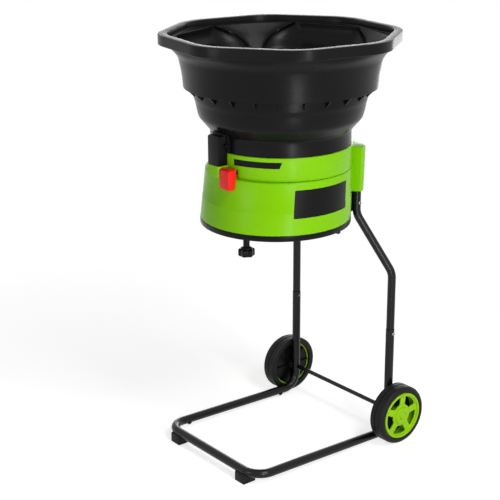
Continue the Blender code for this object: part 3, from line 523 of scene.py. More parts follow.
def octagon(angle, apothem):
    """Distance from the axis to an octagon with rounded corners."""
    offset = abs((angle - RIM_CORNER_ANGLE) % (2 * HALF_SIDE) - HALF_SIDE)
    tangent = math.atan((1 - RIM_CORNER_ROUND / apothem) * math.tan(HALF_SIDE))
    if offset <= tangent:
        return apothem / math.cos(offset)
    centre = (apothem - RIM_CORNER_ROUND) / math.cos(HALF_SIDE)
    aside = HALF_SIDE - offset
    reach = RIM_CORNER_ROUND ** 2 - (centre * math.sin(aside)) ** 2
    return centre * math.cos(aside) + math.sqrt(max(0.0, reach))


def rim_angles():
    """Columns for each side of the octagon: close together round the corner, even along the side."""
    tangent = math.atan((1 - RIM_CORNER_ROUND / RIM_APOTHEM) * math.tan(HALF_SIDE))
    arc = HALF_SIDE - tangent
    offsets = [-HALF_SIDE + arc * k / 4 for k in range(4)]
    offsets += [-tangent + 2 * tangent * k / 12 for k in range(13)]
    offsets += [tangent + arc * k / 4 for k in range(1, 4)]
    return [RIM_CORNER_ANGLE + HALF_SIDE * (2 * side + 1) + offset
            for side in range(8) for offset in offsets]


def rim_ring(apothem, z, roundness=0.0, radius=0.0):
    """A ring that is octagonal, round, or part way between."""
    ring = []
    for angle in rim_angles():
        reach = radius * roundness
        if roundness < 1.0:
            reach += octagon(angle, apothem) * (1 - roundness)
        ring.append(Vector((reach * math.cos(angle), reach * math.sin(angle), z)))
    return ring


def round_ring(radius, z):
    return rim_ring(RIM_APOTHEM, z, 1.0, radius)


def drum(depth):
    """Radius of the funnel's steep round wall below the ledge."""
    levels = [(0.0, 0.2562), (0.013, 0.2545), (0.026, 0.2503), (0.040, 0.2415),
              (0.052, 0.2382), (0.065, 0.2355), (0.080, 0.2335), (0.110, 0.2320)]
    for (low, first), (high, second) in zip(levels, levels[1:]):
        if depth <= high:
            return first + (second - first) * (depth - low) / (high - low)
    return levels[-1][1]


def chute_columns(middle, half, slope, depth, merge):
    """Columns across one chute: crowned near the top, with a bead along each edge."""
    bead = CHUTE_BEAD * eased(depth / 0.006) * (1 - merge)
    crown = (drum(0.0) - CHUTE_RADIUS) * max(0.0, 1 - depth / CHUTE_CROWN_DEPTH)
    steps = [(-share, rise) for share, rise in reversed(HALF_CHUTE[1:])] + HALF_CHUTE
    return [(middle + share * half, slope + crown * share ** 2 - bead * rise) for share, rise in steps]


def funnel_ring(depth):
    """One level of the funnel, whose columns follow the edges of the panels and the chutes."""
    merge = eased((depth - FUNNEL_MERGE) / (FUNNEL_DEPTH - FUNNEL_MERGE))
    even = TURN / 48
    panel = PANEL_HALF * (1 - PANEL_TAPER * depth) * (1 - merge) + even * merge
    waist = max(CHUTE_WAIST, CHUTE_HALF * math.exp(-depth / CHUTE_NARROWS))
    chute = waist * (1 - merge) + 2 * even * merge
    wall = drum(depth)
    slope = CHUTE_RADIUS - CHUTE_LEAN * depth
    middle = TURN / 8
    flute = middle - chute - panel
    shares = [k / FLUTE_COLUMNS for k in range(1, FLUTE_COLUMNS)]
    rising = [(panel + flute * share, wall + (slope - wall) * share ** 2) for share in shares]
    columns = [(panel * k / 6, wall * math.cos(panel) / math.cos(panel * k / 6)) for k in range(-6, 7)]
    columns += rising + chute_columns(middle, chute, slope, depth, merge)
    columns += [(2 * middle - angle, radius) for angle, radius in reversed(rising)]
    ring = []
    for quarter in range(4):
        for offset, radius in columns:
            angle = PANEL_ANGLE + quarter * TURN / 4 + offset
            reach = radius * (1 - merge) + SPOUT_RADIUS * merge
            ring.append(Vector((reach * math.cos(angle), reach * math.sin(angle), LEDGE_Z - depth)))
    return ring


def fill_between(bm, first, second):
    """Close the flat space between two rings at one height."""
    edges = [bm.edges.get(pair) for row in (first, second) for pair in zip(row, row[1:] + row[:1])]
    bmesh.ops.triangle_fill(bm, edges=edges, use_beauty=True)


def mouth_outside():
    """Rings of the upper moulding from inside its flange up the skirt and over the rim to the ledge."""
    flange = [(0.2108, SPOUT_BOTTOM), (0.2160, 0.952), (0.2290, 0.953), (0.2308, 0.9256), (0.2314, 0.9250),
              (0.2330, 0.9250)]
    skirt = [(0.2336, 0.9250), (0.2346, 0.9387), (0.2375, 0.9626), (0.2425, 0.9864), (0.2461, 0.9983),
             (0.2545, 1.0103)]
    flare = [(1.0145, 0.85, 0.2545, 0.2572), (1.0200, 0.65, 0.2560, 0.2600), (1.0262, 0.45, 0.2574, 0.2625),
             (1.0320, 0.25, 0.2590, 0.2650), (1.0380, 0.10, 0.2605, 0.2660), (1.0430, 0.0, 0.2620, 0.2660)]
    lip = [(-0.0030, -0.0080), (-0.0030, -LIP_DROP + 0.0006), (-0.0024, -LIP_DROP), (-0.0008, -LIP_DROP),
           (0.0, -LIP_DROP + 0.0008), (0.0, -0.0026), (-0.0003, -0.0012), (-0.0012, -0.0003),
           (-0.0026, 0.0)]
    to_ledge = LEDGE_Z - RIM_TOP
    inner_lip = [(0.0018, 0.0), (0.0006, -0.0005), (0.0, -0.0018), (-0.0006, to_ledge + 0.0012),
                 (-0.0018, to_ledge)]
    rings = [round_ring(radius, z) for radius, z in flange]
    rings += [round_ring(point.x, point.y + 0.0004) for point in smoothed(skirt, 3)]
    rings += [rim_ring(apothem, z, roundness, radius) for z, roundness, apothem, radius in flare]
    rings += [rim_ring(RIM_APOTHEM + out, RIM_TOP + up) for out, up in lip]
    rings += [rim_ring(RIM_APOTHEM - RIM_BAND + out, RIM_TOP + up) for out, up in inner_lip]
    return rings


def make_hopper_mouth():
    """The upper moulding with rounded lips, a flared skirt and the shaped funnel."""
    depths = [0.0, 0.0008, 0.0022] + [0.005 + 0.005 * k for k in range(18)]
    depths += [0.100, LEDGE_Z - SPOUT_BOTTOM]
    inside = [funnel_ring(depth) for depth in depths]
    for point in inside[0]:
        point.xy *= 1.004
    bm = bmesh.new()
    outer_rows = skin(bm, mouth_outside(), caps=False)
    inner_rows = skin(bm, inside, caps=False)
    fill_between(bm, outer_rows[-1], inner_rows[0])
    fill_between(bm, outer_rows[0], inner_rows[-1])
    dress(shape("hopper_mouth", bm), "black_plastic", "hopper", "hopper_upper")


def make_hopper_bowl():
    """The lower moulding: bowl, flange and collar, with its ring of gussets."""
    outside = [(0.1708, 0.7866), (0.1708, 0.8195), (0.1761, 0.8280), (0.1871, 0.8410), (0.1967, 0.8530),
               (0.2007, 0.8655), (0.2034, 0.8780), (0.2058, 0.8900), (0.2094, 0.9020), (0.2112, 0.9262)]
    inside = [(0.2078, 0.9295), (0.2060, 0.9020), (0.2020, 0.8860), (0.1970, 0.8660), (0.1925, 0.8545),
              (0.1728, 0.8310), (0.1672, 0.8210), (0.1630, 0.7725)]
    profile = [(0.1660, 0.7725), (0.1660, 0.7866)]
    profile += [tuple(point) for point in smoothed(outside, 3)]
    profile += [(0.2275, 0.9262), (0.2283, 0.9268), (0.2285, 0.9280), (0.2281, 0.9293), (0.2270, 0.9297)]
    profile += [tuple(point) for point in smoothed(inside, 3)]
    bowl = shape("hopper_bowl", revolve(profile, 160))
    dress(bowl, "black_plastic", "hopper", "hopper_lower")
    fin = [(0.2070, 0.9062), (0.2108, 0.9056), (0.2274, 0.9226), (0.2274, 0.9268), (0.2070, 0.9268)]
    upright = Matrix(((1, 0, 0, 0), (0, 0, 1, 0), (0, 1, 0, 0), (0, 0, 0, 1)))
    turns = [(k + GUSSET_PHASE) * TURN / GUSSETS for k in range(GUSSETS)]
    fins = [prism(fin, -GUSSET_HALF, GUSSET_HALF, about_z(turn) @ upright) for turn in turns]
    gussets = shape("hopper_gussets", merged(fins), round_last=0.0005)
    dress(gussets, "black_plastic", "hopper", "hopper_lower")


make_hopper_mouth()
make_hopper_bowl()


# Housing.

def shell_circle(z):
    share = (z - SHELL_BOTTOM) / (SEAM_Z - SHELL_BOTTOM)
    return [low + (high - low) * share for low, high in zip(SHELL_LOW, SHELL_HIGH)]


def shell_ring(z, inset=0.0):
    radius, lean = shell_circle(z)
    return circle(radius - inset, z, ROUND_SIDES, lean)


def shell_point(angle, z, outset):
    """A point on the lower housing's skin, at an angle seen from the shell's own centre."""
    radius, lean = shell_circle(z)
    reach = radius + outset
    return Vector((reach * math.cos(angle), lean + reach * math.sin(angle), z))


def ring_point(angle, z, outset):
    """A point on the upper housing's skin."""
    reach = RING_RADIUS + outset
    return Vector((reach * math.cos(angle), reach * math.sin(angle), z))


def panel(margin, corner, radius, start, end, low, high, slant=0.0):
    """Outline of a dark panel, drawn as length along the skin against height."""
    left = math.radians(start) * radius + margin
    right = math.radians(end) * radius - margin
    lean = math.radians(slant) * radius
    corners = [(left, low + margin), (right, low + margin), (right + lean, high - margin),
               (left, high - margin)]
    return rounded(corners, corner)


def label_slab(margin, inner, outer):
    radius = SHELL_HIGH[0]
    outline = panel(margin, 0.0022, radius, *LABEL_SPAN, *LABEL_HEIGHT)
    return wrapped(outline, inner, outer, radius, shell_point, 40)


def strip_slab(margin, inner, outer):
    outline = panel(margin, 0.0012, RING_RADIUS, *STRIP_SPAN, *STRIP_HEIGHT, STRIP_SLANT)
    return wrapped(outline, inner, outer, RING_RADIUS, ring_point, 32)


def make_upper_housing():
    """Upper ring with its rounded top edge, the ledge for the key and the long strip."""
    edge = RING_EDGE
    top = [(RING_RADIUS - edge + edge * math.cos(turn), RING_TOP - edge + edge * math.sin(turn))
           for turn in (math.radians(18 * k) for k in range(6))]
    profile = [(RING_RADIUS - 0.0005, SEAM_Z + GAP), (RING_RADIUS, SEAM_Z + 0.0008)] + top
    profile += [(RING_LIP, RING_TOP), (RING_LIP, 0.7800), (RING_BORE, 0.7765), (RING_BORE, SEAM_Z + GAP)]
    left, right, front, back = KEY_LEFT - 0.006, KEY_RIGHT + 0.0007, -0.2015, -0.165
    shelf = rounded([(left, back), (left, front), (right, front), (right, back)], 0.0045)
    inside = loft([circle(RING_BORE, SEAM_Z - 0.01, ROUND_SIDES), circle(RING_BORE, 0.7600, ROUND_SIDES)])
    window = block((PADDLE_LEFT + 0.005, -0.19, 0.7350), (PADDLE_RIGHT - 0.005, -0.15, 0.7500))
    ring = shape("housing_ring", revolve(profile, ROUND_SIDES),
                 joins=[prism(shelf, SEAM_Z + 2 * GAP, KEY_BOTTOM - GAP)],
                 cuts=[inside, strip_slab(0.0, -0.0010, 0.004), window], round_last=0.0003, segments=1)
    dress(ring, "lime_plastic", "stand", "upper_housing")
    strip = shape("housing_strip", strip_slab(GAP, -0.0007, -0.0001))
    dress(strip, "black_plastic", "stand", "strip_inset")


def shoulder_rings():
    """The curve from the wall inwards to the seam, deepest at the front."""
    radius, lean = SHELL_HIGH
    base = shell_ring(SEAM_Z - SHOULDER_HEIGHT)
    crown = circle(radius, SEAM_Z - GAP, ROUND_SIDES, lean)
    for point in crown:
        narrowing = 1 - SHOULDER_INSET * (0.5 - 0.5 * point.y / radius)
        point.x *= narrowing
        point.y = lean + (point.y - lean) * narrowing
    rings = []
    for turn in (math.radians(15 * k) for k in range(7)):
        level = []
        for low, high in zip(base, crown):
            point = low.lerp(high, 1 - math.cos(turn))
            point.z = low.z + (high.z - low.z) * math.sin(turn)
            level.append(point)
        rings.append(level)
    return rings


def make_lower_housing():
    """Lower shell: crease, shoulder under the seam, and the bare dark panel."""
    levels = [(SHELL_BOTTOM, 0.0006 - CREASE_STEP), (SHELL_BOTTOM + 0.0006, -CREASE_STEP),
              (CREASE_Z - 0.0016, -CREASE_STEP), (CREASE_Z - 0.0011, 0.0001 - CREASE_STEP), (CREASE_Z, 0.0)]
    rings = [shell_ring(z, inset) for z, inset in levels] + shoulder_rings()
    rings += [circle(SHELL_BORE, z, ROUND_SIDES) for z in (SEAM_Z - GAP, SEAM_Z - 0.004)]
    rings += [shell_ring(SEAM_Z - 0.012, SHELL_WALL + 0.001), shell_ring(SHELL_BOTTOM, SHELL_WALL)]
    shell = shape("housing_shell", loft(rings, closed=True), cuts=[label_slab(0.0, -0.0012, 0.006)])
    dress(shell, "lime_plastic", "stand", "lower_housing")
    label = shape("housing_panel", label_slab(GAP, -0.0009, -0.0001))
    dress(label, "black_plastic", "stand", "label_plate")


def housing_envelope(extra):
    """A solid of the housing's outer form, a little larger, to cut what fits against it."""
    radius = RING_RADIUS + extra
    return loft([shell_ring(SHELL_BOTTOM - 0.02, -extra), shell_ring(SEAM_Z, -extra),
                 circle(radius, SEAM_Z + GAP / 2, ROUND_SIDES), circle(radius, 0.84, ROUND_SIDES)])


def cover_level(corner_x, z):
    """One level of the rear cover: flat back, rounded outer corners, front edges to the housing."""
    right = [(0.090, 0.118), (0.109, 0.1352), (0.1160, 0.1374)]
    right += [(point.x, point.y) for point in smoothed([
        (corner_x - 0.0035, 0.1454), (corner_x - 0.0010, 0.1476), (corner_x - 0.0008, 0.1520),
        (corner_x - 0.0070, 0.1640), (corner_x - 0.0160, 0.1715), (corner_x - 0.0300, 0.1778)], 4)]
    return [Vector((x, y, z)) for x, y in right + [(-x, y) for x, y in reversed(right)]]


def leg_socket(side, low, high):
    return cylinder(LEG_SOCKET, low, high, 32, at(side * UPPER_LEG_X, UPPER_LEG_Y, 0))


def make_rear_cover():
    """Moulded back of the housing, with a socket for each leg and a recess for the inlet."""
    levels = [(0.1274, 0.6600), (0.1290, 0.6970), (0.1306, 0.7400), (0.1314, 0.7720)]
    sockets = [leg_socket(side, 0.650, UPPER_LEG_TOP + 0.001) for side in (-1, 1)]
    recess = block((-0.0850, 0.1640, 0.6900), (-0.0550, 0.1900, 0.7120))
    cover = shape("housing_back", loft([cover_level(x, z) for x, z in levels]),
                  cuts=[housing_envelope(GAP), *sockets, recess],
                  round_first=0.0016, segments=3, angle=40.0)
    dress(cover, "lime_plastic", "stand", "rear_cover")


def make_bottom_ring():
    """Black ring under the housing, with two hook tabs for a collecting bag."""
    lean = SHELL_LOW[1]
    top = SHELL_BOTTOM - GAP
    levels = [(0.1836, 0.5920), (0.1845, 0.5924), (0.1850, 0.5934), (0.1850, SHELL_BOTTOM - 0.0009),
              (0.1846, top), (0.1787, top), (0.1787, 0.6130), (0.1760, 0.6130), (0.1760, 0.5926),
              (0.1768, 0.5920)]
    tab = rounded([(0.1775, -0.005), (0.1838, -0.005), (0.1838, 0.005), (0.1775, 0.005)], 0.0012, 3)
    tabs = [prism(tab, 0.5875, 0.5930, at(0, lean, 0) @ about_z(math.radians(angle)))
            for angle in HOOK_ANGLES]
    rings = [circle(radius, z, ROUND_SIDES, lean) for radius, z in levels]
    ring = shape("bag_ring", loft(rings, closed=True), joins=[merged(tabs)])
    dress(ring, "black_plastic", "stand", "bottom_ring")


# Front controls.

def make_safety_key():
    """Upright block with two screwed wings, softly rounded."""
    side = [(KEY_FRONT, KEY_BOTTOM), (KEY_FRONT, KEY_TOP - 0.003), (KEY_FRONT + 0.003, KEY_TOP),
            (-0.1600, KEY_TOP), (-0.1600, KEY_BOTTOM)]
    wings = block((KEY_LEFT - 0.010, -0.1795, 0.7900), (KEY_RIGHT + 0.010, -0.1590, KEY_TOP + 0.003))
    seat = [(0.0, 0.700), (RING_RADIUS + 0.0012, 0.700), (RING_RADIUS + 0.0012, COLLAR_BOTTOM + GAP),
            (COLLAR_RADIUS + 0.0004, COLLAR_BOTTOM + GAP), (COLLAR_RADIUS + 0.0004, 0.8198),
            (0.1766, 0.8283), (0.1815, 0.8330), (0.0, 0.8330)]
    key = shape("key_block", prism(side, KEY_LEFT, KEY_RIGHT, ALONG_X), joins=[wings],
                cuts=[revolve(seat, ROUND_SIDES)], round_last=0.0014, segments=3, angle=50.0)
    dress(key, "black_plastic", "hopper", "safety_key")
    for name, x in (("left", KEY_LEFT - 0.0052), ("right", KEY_RIGHT + 0.0052)):
        head = [(0, -0.1826), (0.0012, -0.1826), (0.0014, -0.1840), (0.0022, -0.1838), (0.0030, -0.1831),
                (0.0034, -0.1820), (0.0034, -0.1798), (0, -0.1798)]
        facing = Matrix(((1, 0, 0, x), (0, 0, 1, 0), (0, -1, 0, 0.806), (0, 0, 0, 1)))
        screw = shape("key_screw_head_" + name, revolve(head, 32, facing))
        dress(screw, "black_plastic", "hopper", "key_screw_" + name)


def make_paddle():
    """Red paddle: rounded edges, a sloping top and a thumb ridge near its lower end."""
    side = [(PADDLE_FRONT + 0.0008, PADDLE_BOTTOM), (PADDLE_FRONT - 0.0004, 0.7250),
            (PADDLE_FRONT + 0.0006, PADDLE_TOP - 0.0030), (PADDLE_FRONT + 0.0045, PADDLE_TOP),
            (PADDLE_BACK, PADDLE_TOP), (PADDLE_BACK, PADDLE_BOTTOM)]
    clearance = CREASE_STEP + 2 * GAP
    behind = loft([shell_ring(PADDLE_BOTTOM - 0.02, -clearance), shell_ring(SEAM_Z + 0.0012, -clearance)])
    pocket = block((PADDLE_LEFT + 0.0045, -0.1940, 0.7340), (PADDLE_RIGHT - 0.0045, -0.1700, 0.7505))
    paddle = shape("paddle", prism(side, PADDLE_LEFT, PADDLE_RIGHT, ALONG_X), cuts=[behind, pocket],
                   round_first=0.0024, segments=4, angle=30.0)
    dress(paddle, "red_plastic", "paddle", "switch_paddle")


def make_knob():
    """Six-lobed knob with rounded lobes and a stepped collar on its stud."""
    sides = 120
    levels = [(KNOB_BOTTOM, 0.80), (KNOB_BOTTOM + 0.0006, 0.90), (KNOB_BOTTOM + 0.0018, 0.97),
              (KNOB_BOTTOM + 0.0034, 1.0), (KNOB_TOP - 0.0072, 1.0), (KNOB_TOP - 0.0055, 0.97),
              (KNOB_TOP - 0.0043, 0.90), (KNOB_TOP - 0.0040, 0.80)]
    rings = []
    for z, share in levels:
        ring = []
        for k in range(sides):
            angle = TURN * k / sides
            reach = share * KNOB_RADIUS * (0.92 + 0.08 * math.cos(6 * angle))
            ring.append(Vector((reach * math.cos(angle), KNOB_Y + reach * math.sin(angle), z)))
        rings.append(ring)
    root = KNOB_BOTTOM + 0.01
    stud = [(0, root), (0.013, root), (0.013, KNOB_TOP - 0.002), (0.0125, KNOB_TOP - 0.0008),
            (0.011, KNOB_TOP), (STUD, KNOB_TOP), (STUD, 0.6229), (STUD - 0.0006, 0.6235), (0, 0.6235)]
    knob = shape("knob_grip", loft(rings), joins=[revolve(stud, 48, at(0, KNOB_Y, 0))])
    dress(knob, "black_plastic", "knob", "star_knob")


# Stand.

def base_path():
    corners = [(-RAIL_X, LEG_Y, JOINT_Z), (-RAIL_X, LEG_Y, RAIL_REAR_Z), (-RAIL_X, CROSSBAR_Y, CROSSBAR_Z),
               (RAIL_X, CROSSBAR_Y, CROSSBAR_Z), (RAIL_X, LEG_Y, RAIL_REAR_Z), (RAIL_X, LEG_Y, JOINT_Z)]
    return bent_path(corners, (REAR_BEND, FRONT_BEND, FRONT_BEND, REAR_BEND), 16)


def rail_z(y):
    """Height of a rail's centre line, which drops towards the wheels."""
    return CROSSBAR_Z + (RAIL_REAR_Z - CROSSBAR_Z) * (y - CROSSBAR_Y) / (LEG_Y - CROSSBAR_Y)


def pan_head(name, node, place, radius, length, shank):
    """A steel screw with a rounded head and a driver recess, its shank along -Z."""
    high = 0.0030
    profile = [(0, high - 0.0014), (radius * 0.30, high - 0.0014), (radius * 0.34, high),
               (radius * 0.62, high - 0.0004), (radius * 0.86, high * 0.62), (radius, high * 0.30),
               (radius, 0.0), (shank, 0.0), (shank, -length), (0, -length)]
    dress(shape(name, revolve(profile, 24, place)), "steel", "stand", node)


def cross_hole(side, radius, z, sides):
    """A cutter across one leg, for a screw or the axle."""
    return cylinder(radius, -0.03, 0.03, sides, at(side * RAIL_X, LEG_Y, z) @ ALONG_X)


def make_leg(name, side):
    """Upper leg with two bends, its screws, and the bracket that holds it to the housing."""
    corners = [(side * UPPER_LEG_X, UPPER_LEG_Y, UPPER_LEG_TOP),
               (side * UPPER_LEG_X, UPPER_LEG_Y, UPPER_BEND_Z),
               (side * RAIL_X, LEG_Y, LOWER_BEND_Z), (side * RAIL_X, LEG_Y, JOINT_Z)]
    path = bent_path(corners, (LEG_BEND, LEG_BEND), 12)
    leg = shape("leg_tube_" + name, tube(path, UPPER_TUBE, TUBE_SIDES, LEG_PLUG),
                cuts=[cross_hole(side, SCREW_HOLE, LEG_SCREW_Z, 24)])
    dress(leg, "black_paint", "stand", "upper_leg_" + name)
    outward = Matrix.Scale(side, 4, (1, 0, 0)) @ ALONG_X
    screw_at = at(side * (RAIL_X + TUBE + GAP), LEG_Y, LEG_SCREW_Z) @ outward
    bolt_at = at(side * (UPPER_LEG_X + UPPER_TUBE + GAP), UPPER_LEG_Y, LEG_BOLT_Z) @ outward
    pan_head("leg_screw_head_" + name, "leg_screw_" + name, screw_at,
             radius=0.0042, length=0.0215, shank=0.0025)
    pan_head("leg_bolt_head_" + name, "leg_bolt_" + name, bolt_at,
             radius=0.0046, length=0.0290, shank=0.0030)
    near, far = sorted((side * 0.084, side * 0.1085))
    bracket = shape("leg_clamp_" + name, block((near, 0.128, 0.6070), (far, 0.1590, 0.6560)),
                    cuts=[housing_envelope(CREASE_STEP + GAP), leg_socket(side, 0.59, 0.67)],
                    round_first=0.0012, segments=3)
    dress(bracket, "black_paint", "stand", "leg_bracket_" + name)


def make_base_tube():
    """The bent base tube, open at its ends for the upper legs and drilled for screws and axle."""
    sleeves = [cylinder(PLUG_SLEEVE, JOINT_Z - 0.044, JOINT_Z + 0.01, 32, at(side * RAIL_X, LEG_Y, 0))
               for side in (-1, 1)]
    holes = [cross_hole(side, SCREW_HOLE, LEG_SCREW_Z, 24) for side in (-1, 1)]
    holes += [cross_hole(side, AXLE_RADIUS + 0.0004, AXLE_Z, 32) for side in (-1, 1)]
    base = shape("base_tube", tube(base_path(), TUBE, TUBE_SIDES), cuts=[merged(sleeves), merged(holes)])
    dress(base, "black_paint", "stand", "base_frame")


def make_foot(name, side):
    """A block under the front crossbar, hollowed to fit the tube."""
    outline = rounded([(-0.2415, 0.0), (-0.2415, 0.0245), (-0.2275, 0.0300), (-0.2155, 0.0195),
                       (-0.2040, 0.0185), (-0.2040, 0.0)], 0.0018, 4)
    low, high = sorted(side * reach for reach in FOOT_SPAN)
    foot = shape("foot_block_" + name, prism(outline, low, high, ALONG_X),
                 cuts=[tube(base_path(), TUBE + 0.0002, TUBE_SIDES)], round_first=0.0010, segments=2)
    dress(foot, "rubber", "stand", "front_foot_" + name)


def make_studs():
    """Four small studs low on the rails, turned inwards."""
    profile = [(0, -TUBE - 0.0035), (0.0026, -TUBE - 0.0034), (0.0044, -TUBE - 0.0029),
               (0.0053, -TUBE - 0.0018), (0.0055, -TUBE - GAP), (0, -TUBE - GAP)]
    spots = [(x, y) for x in (-RAIL_X, RAIL_X) for y in (STUD_FRONT_Y, STUD_REAR_Y)]
    for k, (x, y) in enumerate(spots):
        inward = Matrix.Rotation(math.copysign(STUD_TURN, x), 4, "Y")
        stud = shape("stud_" + str(k + 1), revolve(profile, 32, at(x, y, rail_z(y)) @ inward))
        dress(stud, "rubber", "stand", "rail_stud_" + str(k + 1))


# Wheels.

def sector_window(angle):
    """The opening between two spokes, with rounded corners."""
    inner, outer = 0.0290, 0.0510
    corners = []
    for reach, half in ((inner, 0.30), (inner + 0.003, 0.36), (outer - 0.002, 0.45), (outer, 0.42)):
        corners.append((reach * math.cos(half), reach * math.sin(half)))
    arc = [(outer * math.cos(turn), outer * math.sin(turn)) for turn in (0.2, 0.0, -0.2)]
    inside = [(inner * math.cos(turn), inner * math.sin(turn)) for turn in (-0.1, 0.1)]
    outline = corners + arc + [(x, -y) for x, y in reversed(corners)] + inside
    return prism(outline, 0.205, 0.250, about_z(angle))


def make_tyre(name, axle):
    """Tyre with shallow tread grooves and rounded shoulders."""
    seat = HUB_RADIUS + GAP
    inner = [(seat, 0.1940), (0.0640, 0.1932), (0.0690, WHEEL_INNER), (0.0722, 0.1930), (0.0748, 0.1941)]
    tread = [(WHEEL_RADIUS, 0.1960)]
    for middle, half, depth in TYRE_GROOVES:
        tread += [(WHEEL_RADIUS, middle - half - 0.0004), (WHEEL_RADIUS - depth, middle - half),
                  (WHEEL_RADIUS - depth, middle + half), (WHEEL_RADIUS, middle + half + 0.0004)]
    shoulder = [(WHEEL_RADIUS, 0.2262), (0.0763, 0.2284), (0.0752, 0.2307), (0.0733, 0.2330),
                (0.0708, 0.2346), (0.0680, 0.2354), (0.0640, WHEEL_OUTER), (0.0624, 0.2350),
                (0.0614, 0.2335), (seat, 0.2320)]
    tyre = shape("tread_" + name, revolve(inner + tread + shoulder, 128, axle))
    dress(tyre, "tyre", "wheel_" + name, "tyre_" + name)


def make_hub(name, axle):
    """Spoked hub: a barrel, a plate with windows, a raised outer ring and a boss."""
    barrel, rim = HUB_BARREL, HUB_RADIUS
    hub = [(HUB_BORE, 0.2030), (HUB_BOSS, 0.2030), (HUB_BOSS, 0.2275), (barrel, 0.2275), (barrel, 0.2008),
           (barrel + 0.0006, 0.2002), (rim - 0.0006, 0.2002), (rim, 0.2008), (rim, 0.2340),
           (0.0600, 0.2353), (0.0589, 0.2360), (0.0556, 0.2360), (0.0545, 0.2354), (0.0538, 0.2330),
           (0.0530, 0.2312), (0.0514, 0.2305), (0.0248, 0.2305), (0.0236, 0.2312), (0.0228, 0.2345),
           (0.0218, 0.2358), (0.0205, 0.2362), (HUB_BORE, 0.2362)]
    windows = merged([sector_window(TURN * k / SPOKES) for k in range(SPOKES)])
    bmesh.ops.transform(windows, matrix=axle @ about_z(SPOKE_PHASE), verts=windows.verts)
    wheel = shape("hub_" + name, revolve(hub, 96, axle), cuts=[windows], round_last=0.0005,
                  segments=2, angle=50.0)
    # The hub takes the lighter copy of the lime plastic, whose base colour carries painted light.
    dress(wheel, "lime_hub_painted_light", "wheel_" + name, "wheel_hub_" + name, slot="lime_plastic")


def make_core(name, axle):
    """Black core behind the spokes, with radial ribs on its inner side."""
    edge = HUB_BARREL - 2 * GAP
    profile = [(HUB_BORE, 0.1932), (HUB_BOSS, 0.1932), (0.0164, 0.1938), (0.0164, 0.2005),
               (0.0536, 0.2005), (0.0540, 0.1998), (0.0545, 0.1994), (edge - 0.0005, 0.1994),
               (edge, 0.2000), (edge, 0.2038), (0.0166, 0.2038), (0.0166, 0.2027), (HUB_BORE, 0.2027)]
    rib = [(0.0140, -0.0010), (0.0140, 0.0010), (0.0555, 0.0010), (0.0555, -0.0010)]
    ribs = merged([prism(rib, 0.1950, 0.2015, about_z(TURN * k / CORE_RIBS)) for k in range(CORE_RIBS)])
    bmesh.ops.transform(ribs, matrix=axle, verts=ribs.verts)
    core = shape("core_" + name, revolve(profile, 96, axle), joins=[ribs])
    dress(core, "black_plastic", "wheel_" + name, "wheel_core_" + name)


def make_axle_cap(name, axle):
    """Domed cap on the axle's end. It stays with the axle while the wheel turns."""
    profile = [(0, 0.2350), (0.0061, 0.2350), (0.0061, 0.2330), (0.0096, 0.2330), (0.0100, 0.2335),
               (0.0100, 0.2355), (0.0095, 0.2364), (0.0080, 0.2371), (0.0050, 0.2376), (0, 0.2378)]
    cap = shape("cap_" + name, revolve(profile, 48, axle))
    # The cap takes the lighter copy of the lime plastic, whose base colour carries painted light.
    dress(cap, "lime_hub_painted_light", "stand", "axle_cap_" + name, slot="lime_plastic")


def make_wheel(name, side):
    """A wheel about the axle. Profiles are given as radius against distance from the middle."""
    axle = at(0, LEG_Y, AXLE_Z) @ Matrix.Scale(side, 4, (1, 0, 0)) @ ALONG_X
    make_tyre(name, axle)
    make_hub(name, axle)
    make_core(name, axle)
    make_axle_cap(name, axle)


def make_axle():
    edge = 0.0008
    rod = [(0, -AXLE_END), (AXLE_RADIUS - edge, -AXLE_END), (AXLE_RADIUS, edge - AXLE_END),
           (AXLE_RADIUS, AXLE_END - edge), (AXLE_RADIUS - edge, AXLE_END), (0, AXLE_END)]
    axle = shape("axle_rod", revolve(rod, 32, at(0, LEG_Y, AXLE_Z) @ ALONG_X))
    dress(axle, "black_paint", "stand", "axle")


make_upper_housing()
make_lower_housing()
make_rear_cover()
make_bottom_ring()
make_safety_key()
make_paddle()
make_knob()
make_base_tube()
make_foot("left", -1)
make_foot("right", 1)
make_studs()
make_axle()
for name, side in (("left", -1), ("right", 1)):
    make_leg(name, side)
    make_wheel(name, side)


# Studio and camera.

AMBIENT = 0.06
FLOOR_SIZE = 12.0
FLOOR_TONE = (0.80, 0.80, 0.80)
FLOOR_LIFT = 0.70
FLOOR_FADE = (0.6, 1.6)


def carried_over():
    """Give each CAD node that still shows the finish of its own record slot."""
    for part in frame["record"]["subparts"]:
        node = frame["nodes"][part["node"]]
        for holder in node.material_slots:
            holder.material = LOOKS[part["material_slot"]]


def softbox(name, place, target, width, height, power):
    data = bpy.data.lights.new(name, "AREA")
    data.shape = "RECTANGLE"
    data.size = width
    data.size_y = height
    data.energy = power
    lamp = bpy.data.objects.new(name, data)
    bpy.context.scene.collection.objects.link(lamp)
    lamp.location = place
    lamp.rotation_euler = (Vector(target) - Vector(place)).to_track_quat("-Z", "Y").to_euler()


def seen_rays(tree):
    """1 for rays that should meet the white background: from the camera, a gloss or a glass."""
    rays = tree.nodes.new("ShaderNodeLightPath")
    first = tree.nodes.new("ShaderNodeMath")
    first.operation = "MAXIMUM"
    wire(tree, rays, "Is Camera Ray", first, 0)
    wire(tree, rays, "Is Glossy Ray", first, 1)
    both = tree.nodes.new("ShaderNodeMath")
    both.operation = "MAXIMUM"
    wire(tree, first, "Value", both, 0)
    wire(tree, rays, "Is Transmission Ray", both, 1)
    return both


def make_world(ambient):
    """A world that lights softly and looks white."""
    world = bpy.data.worlds.new("studio")
    bpy.context.scene.world = world
    world.use_nodes = True
    tree = world.node_tree
    background = tree.nodes["Background"]
    background.inputs["Color"].default_value = (1.0, 1.0, 1.0, 1.0)
    level = remap(tree, seen_rays(tree), "Value", 0.0, 1.0, ambient, 1.0)
    wire(tree, level, "Result", background, "Strength")


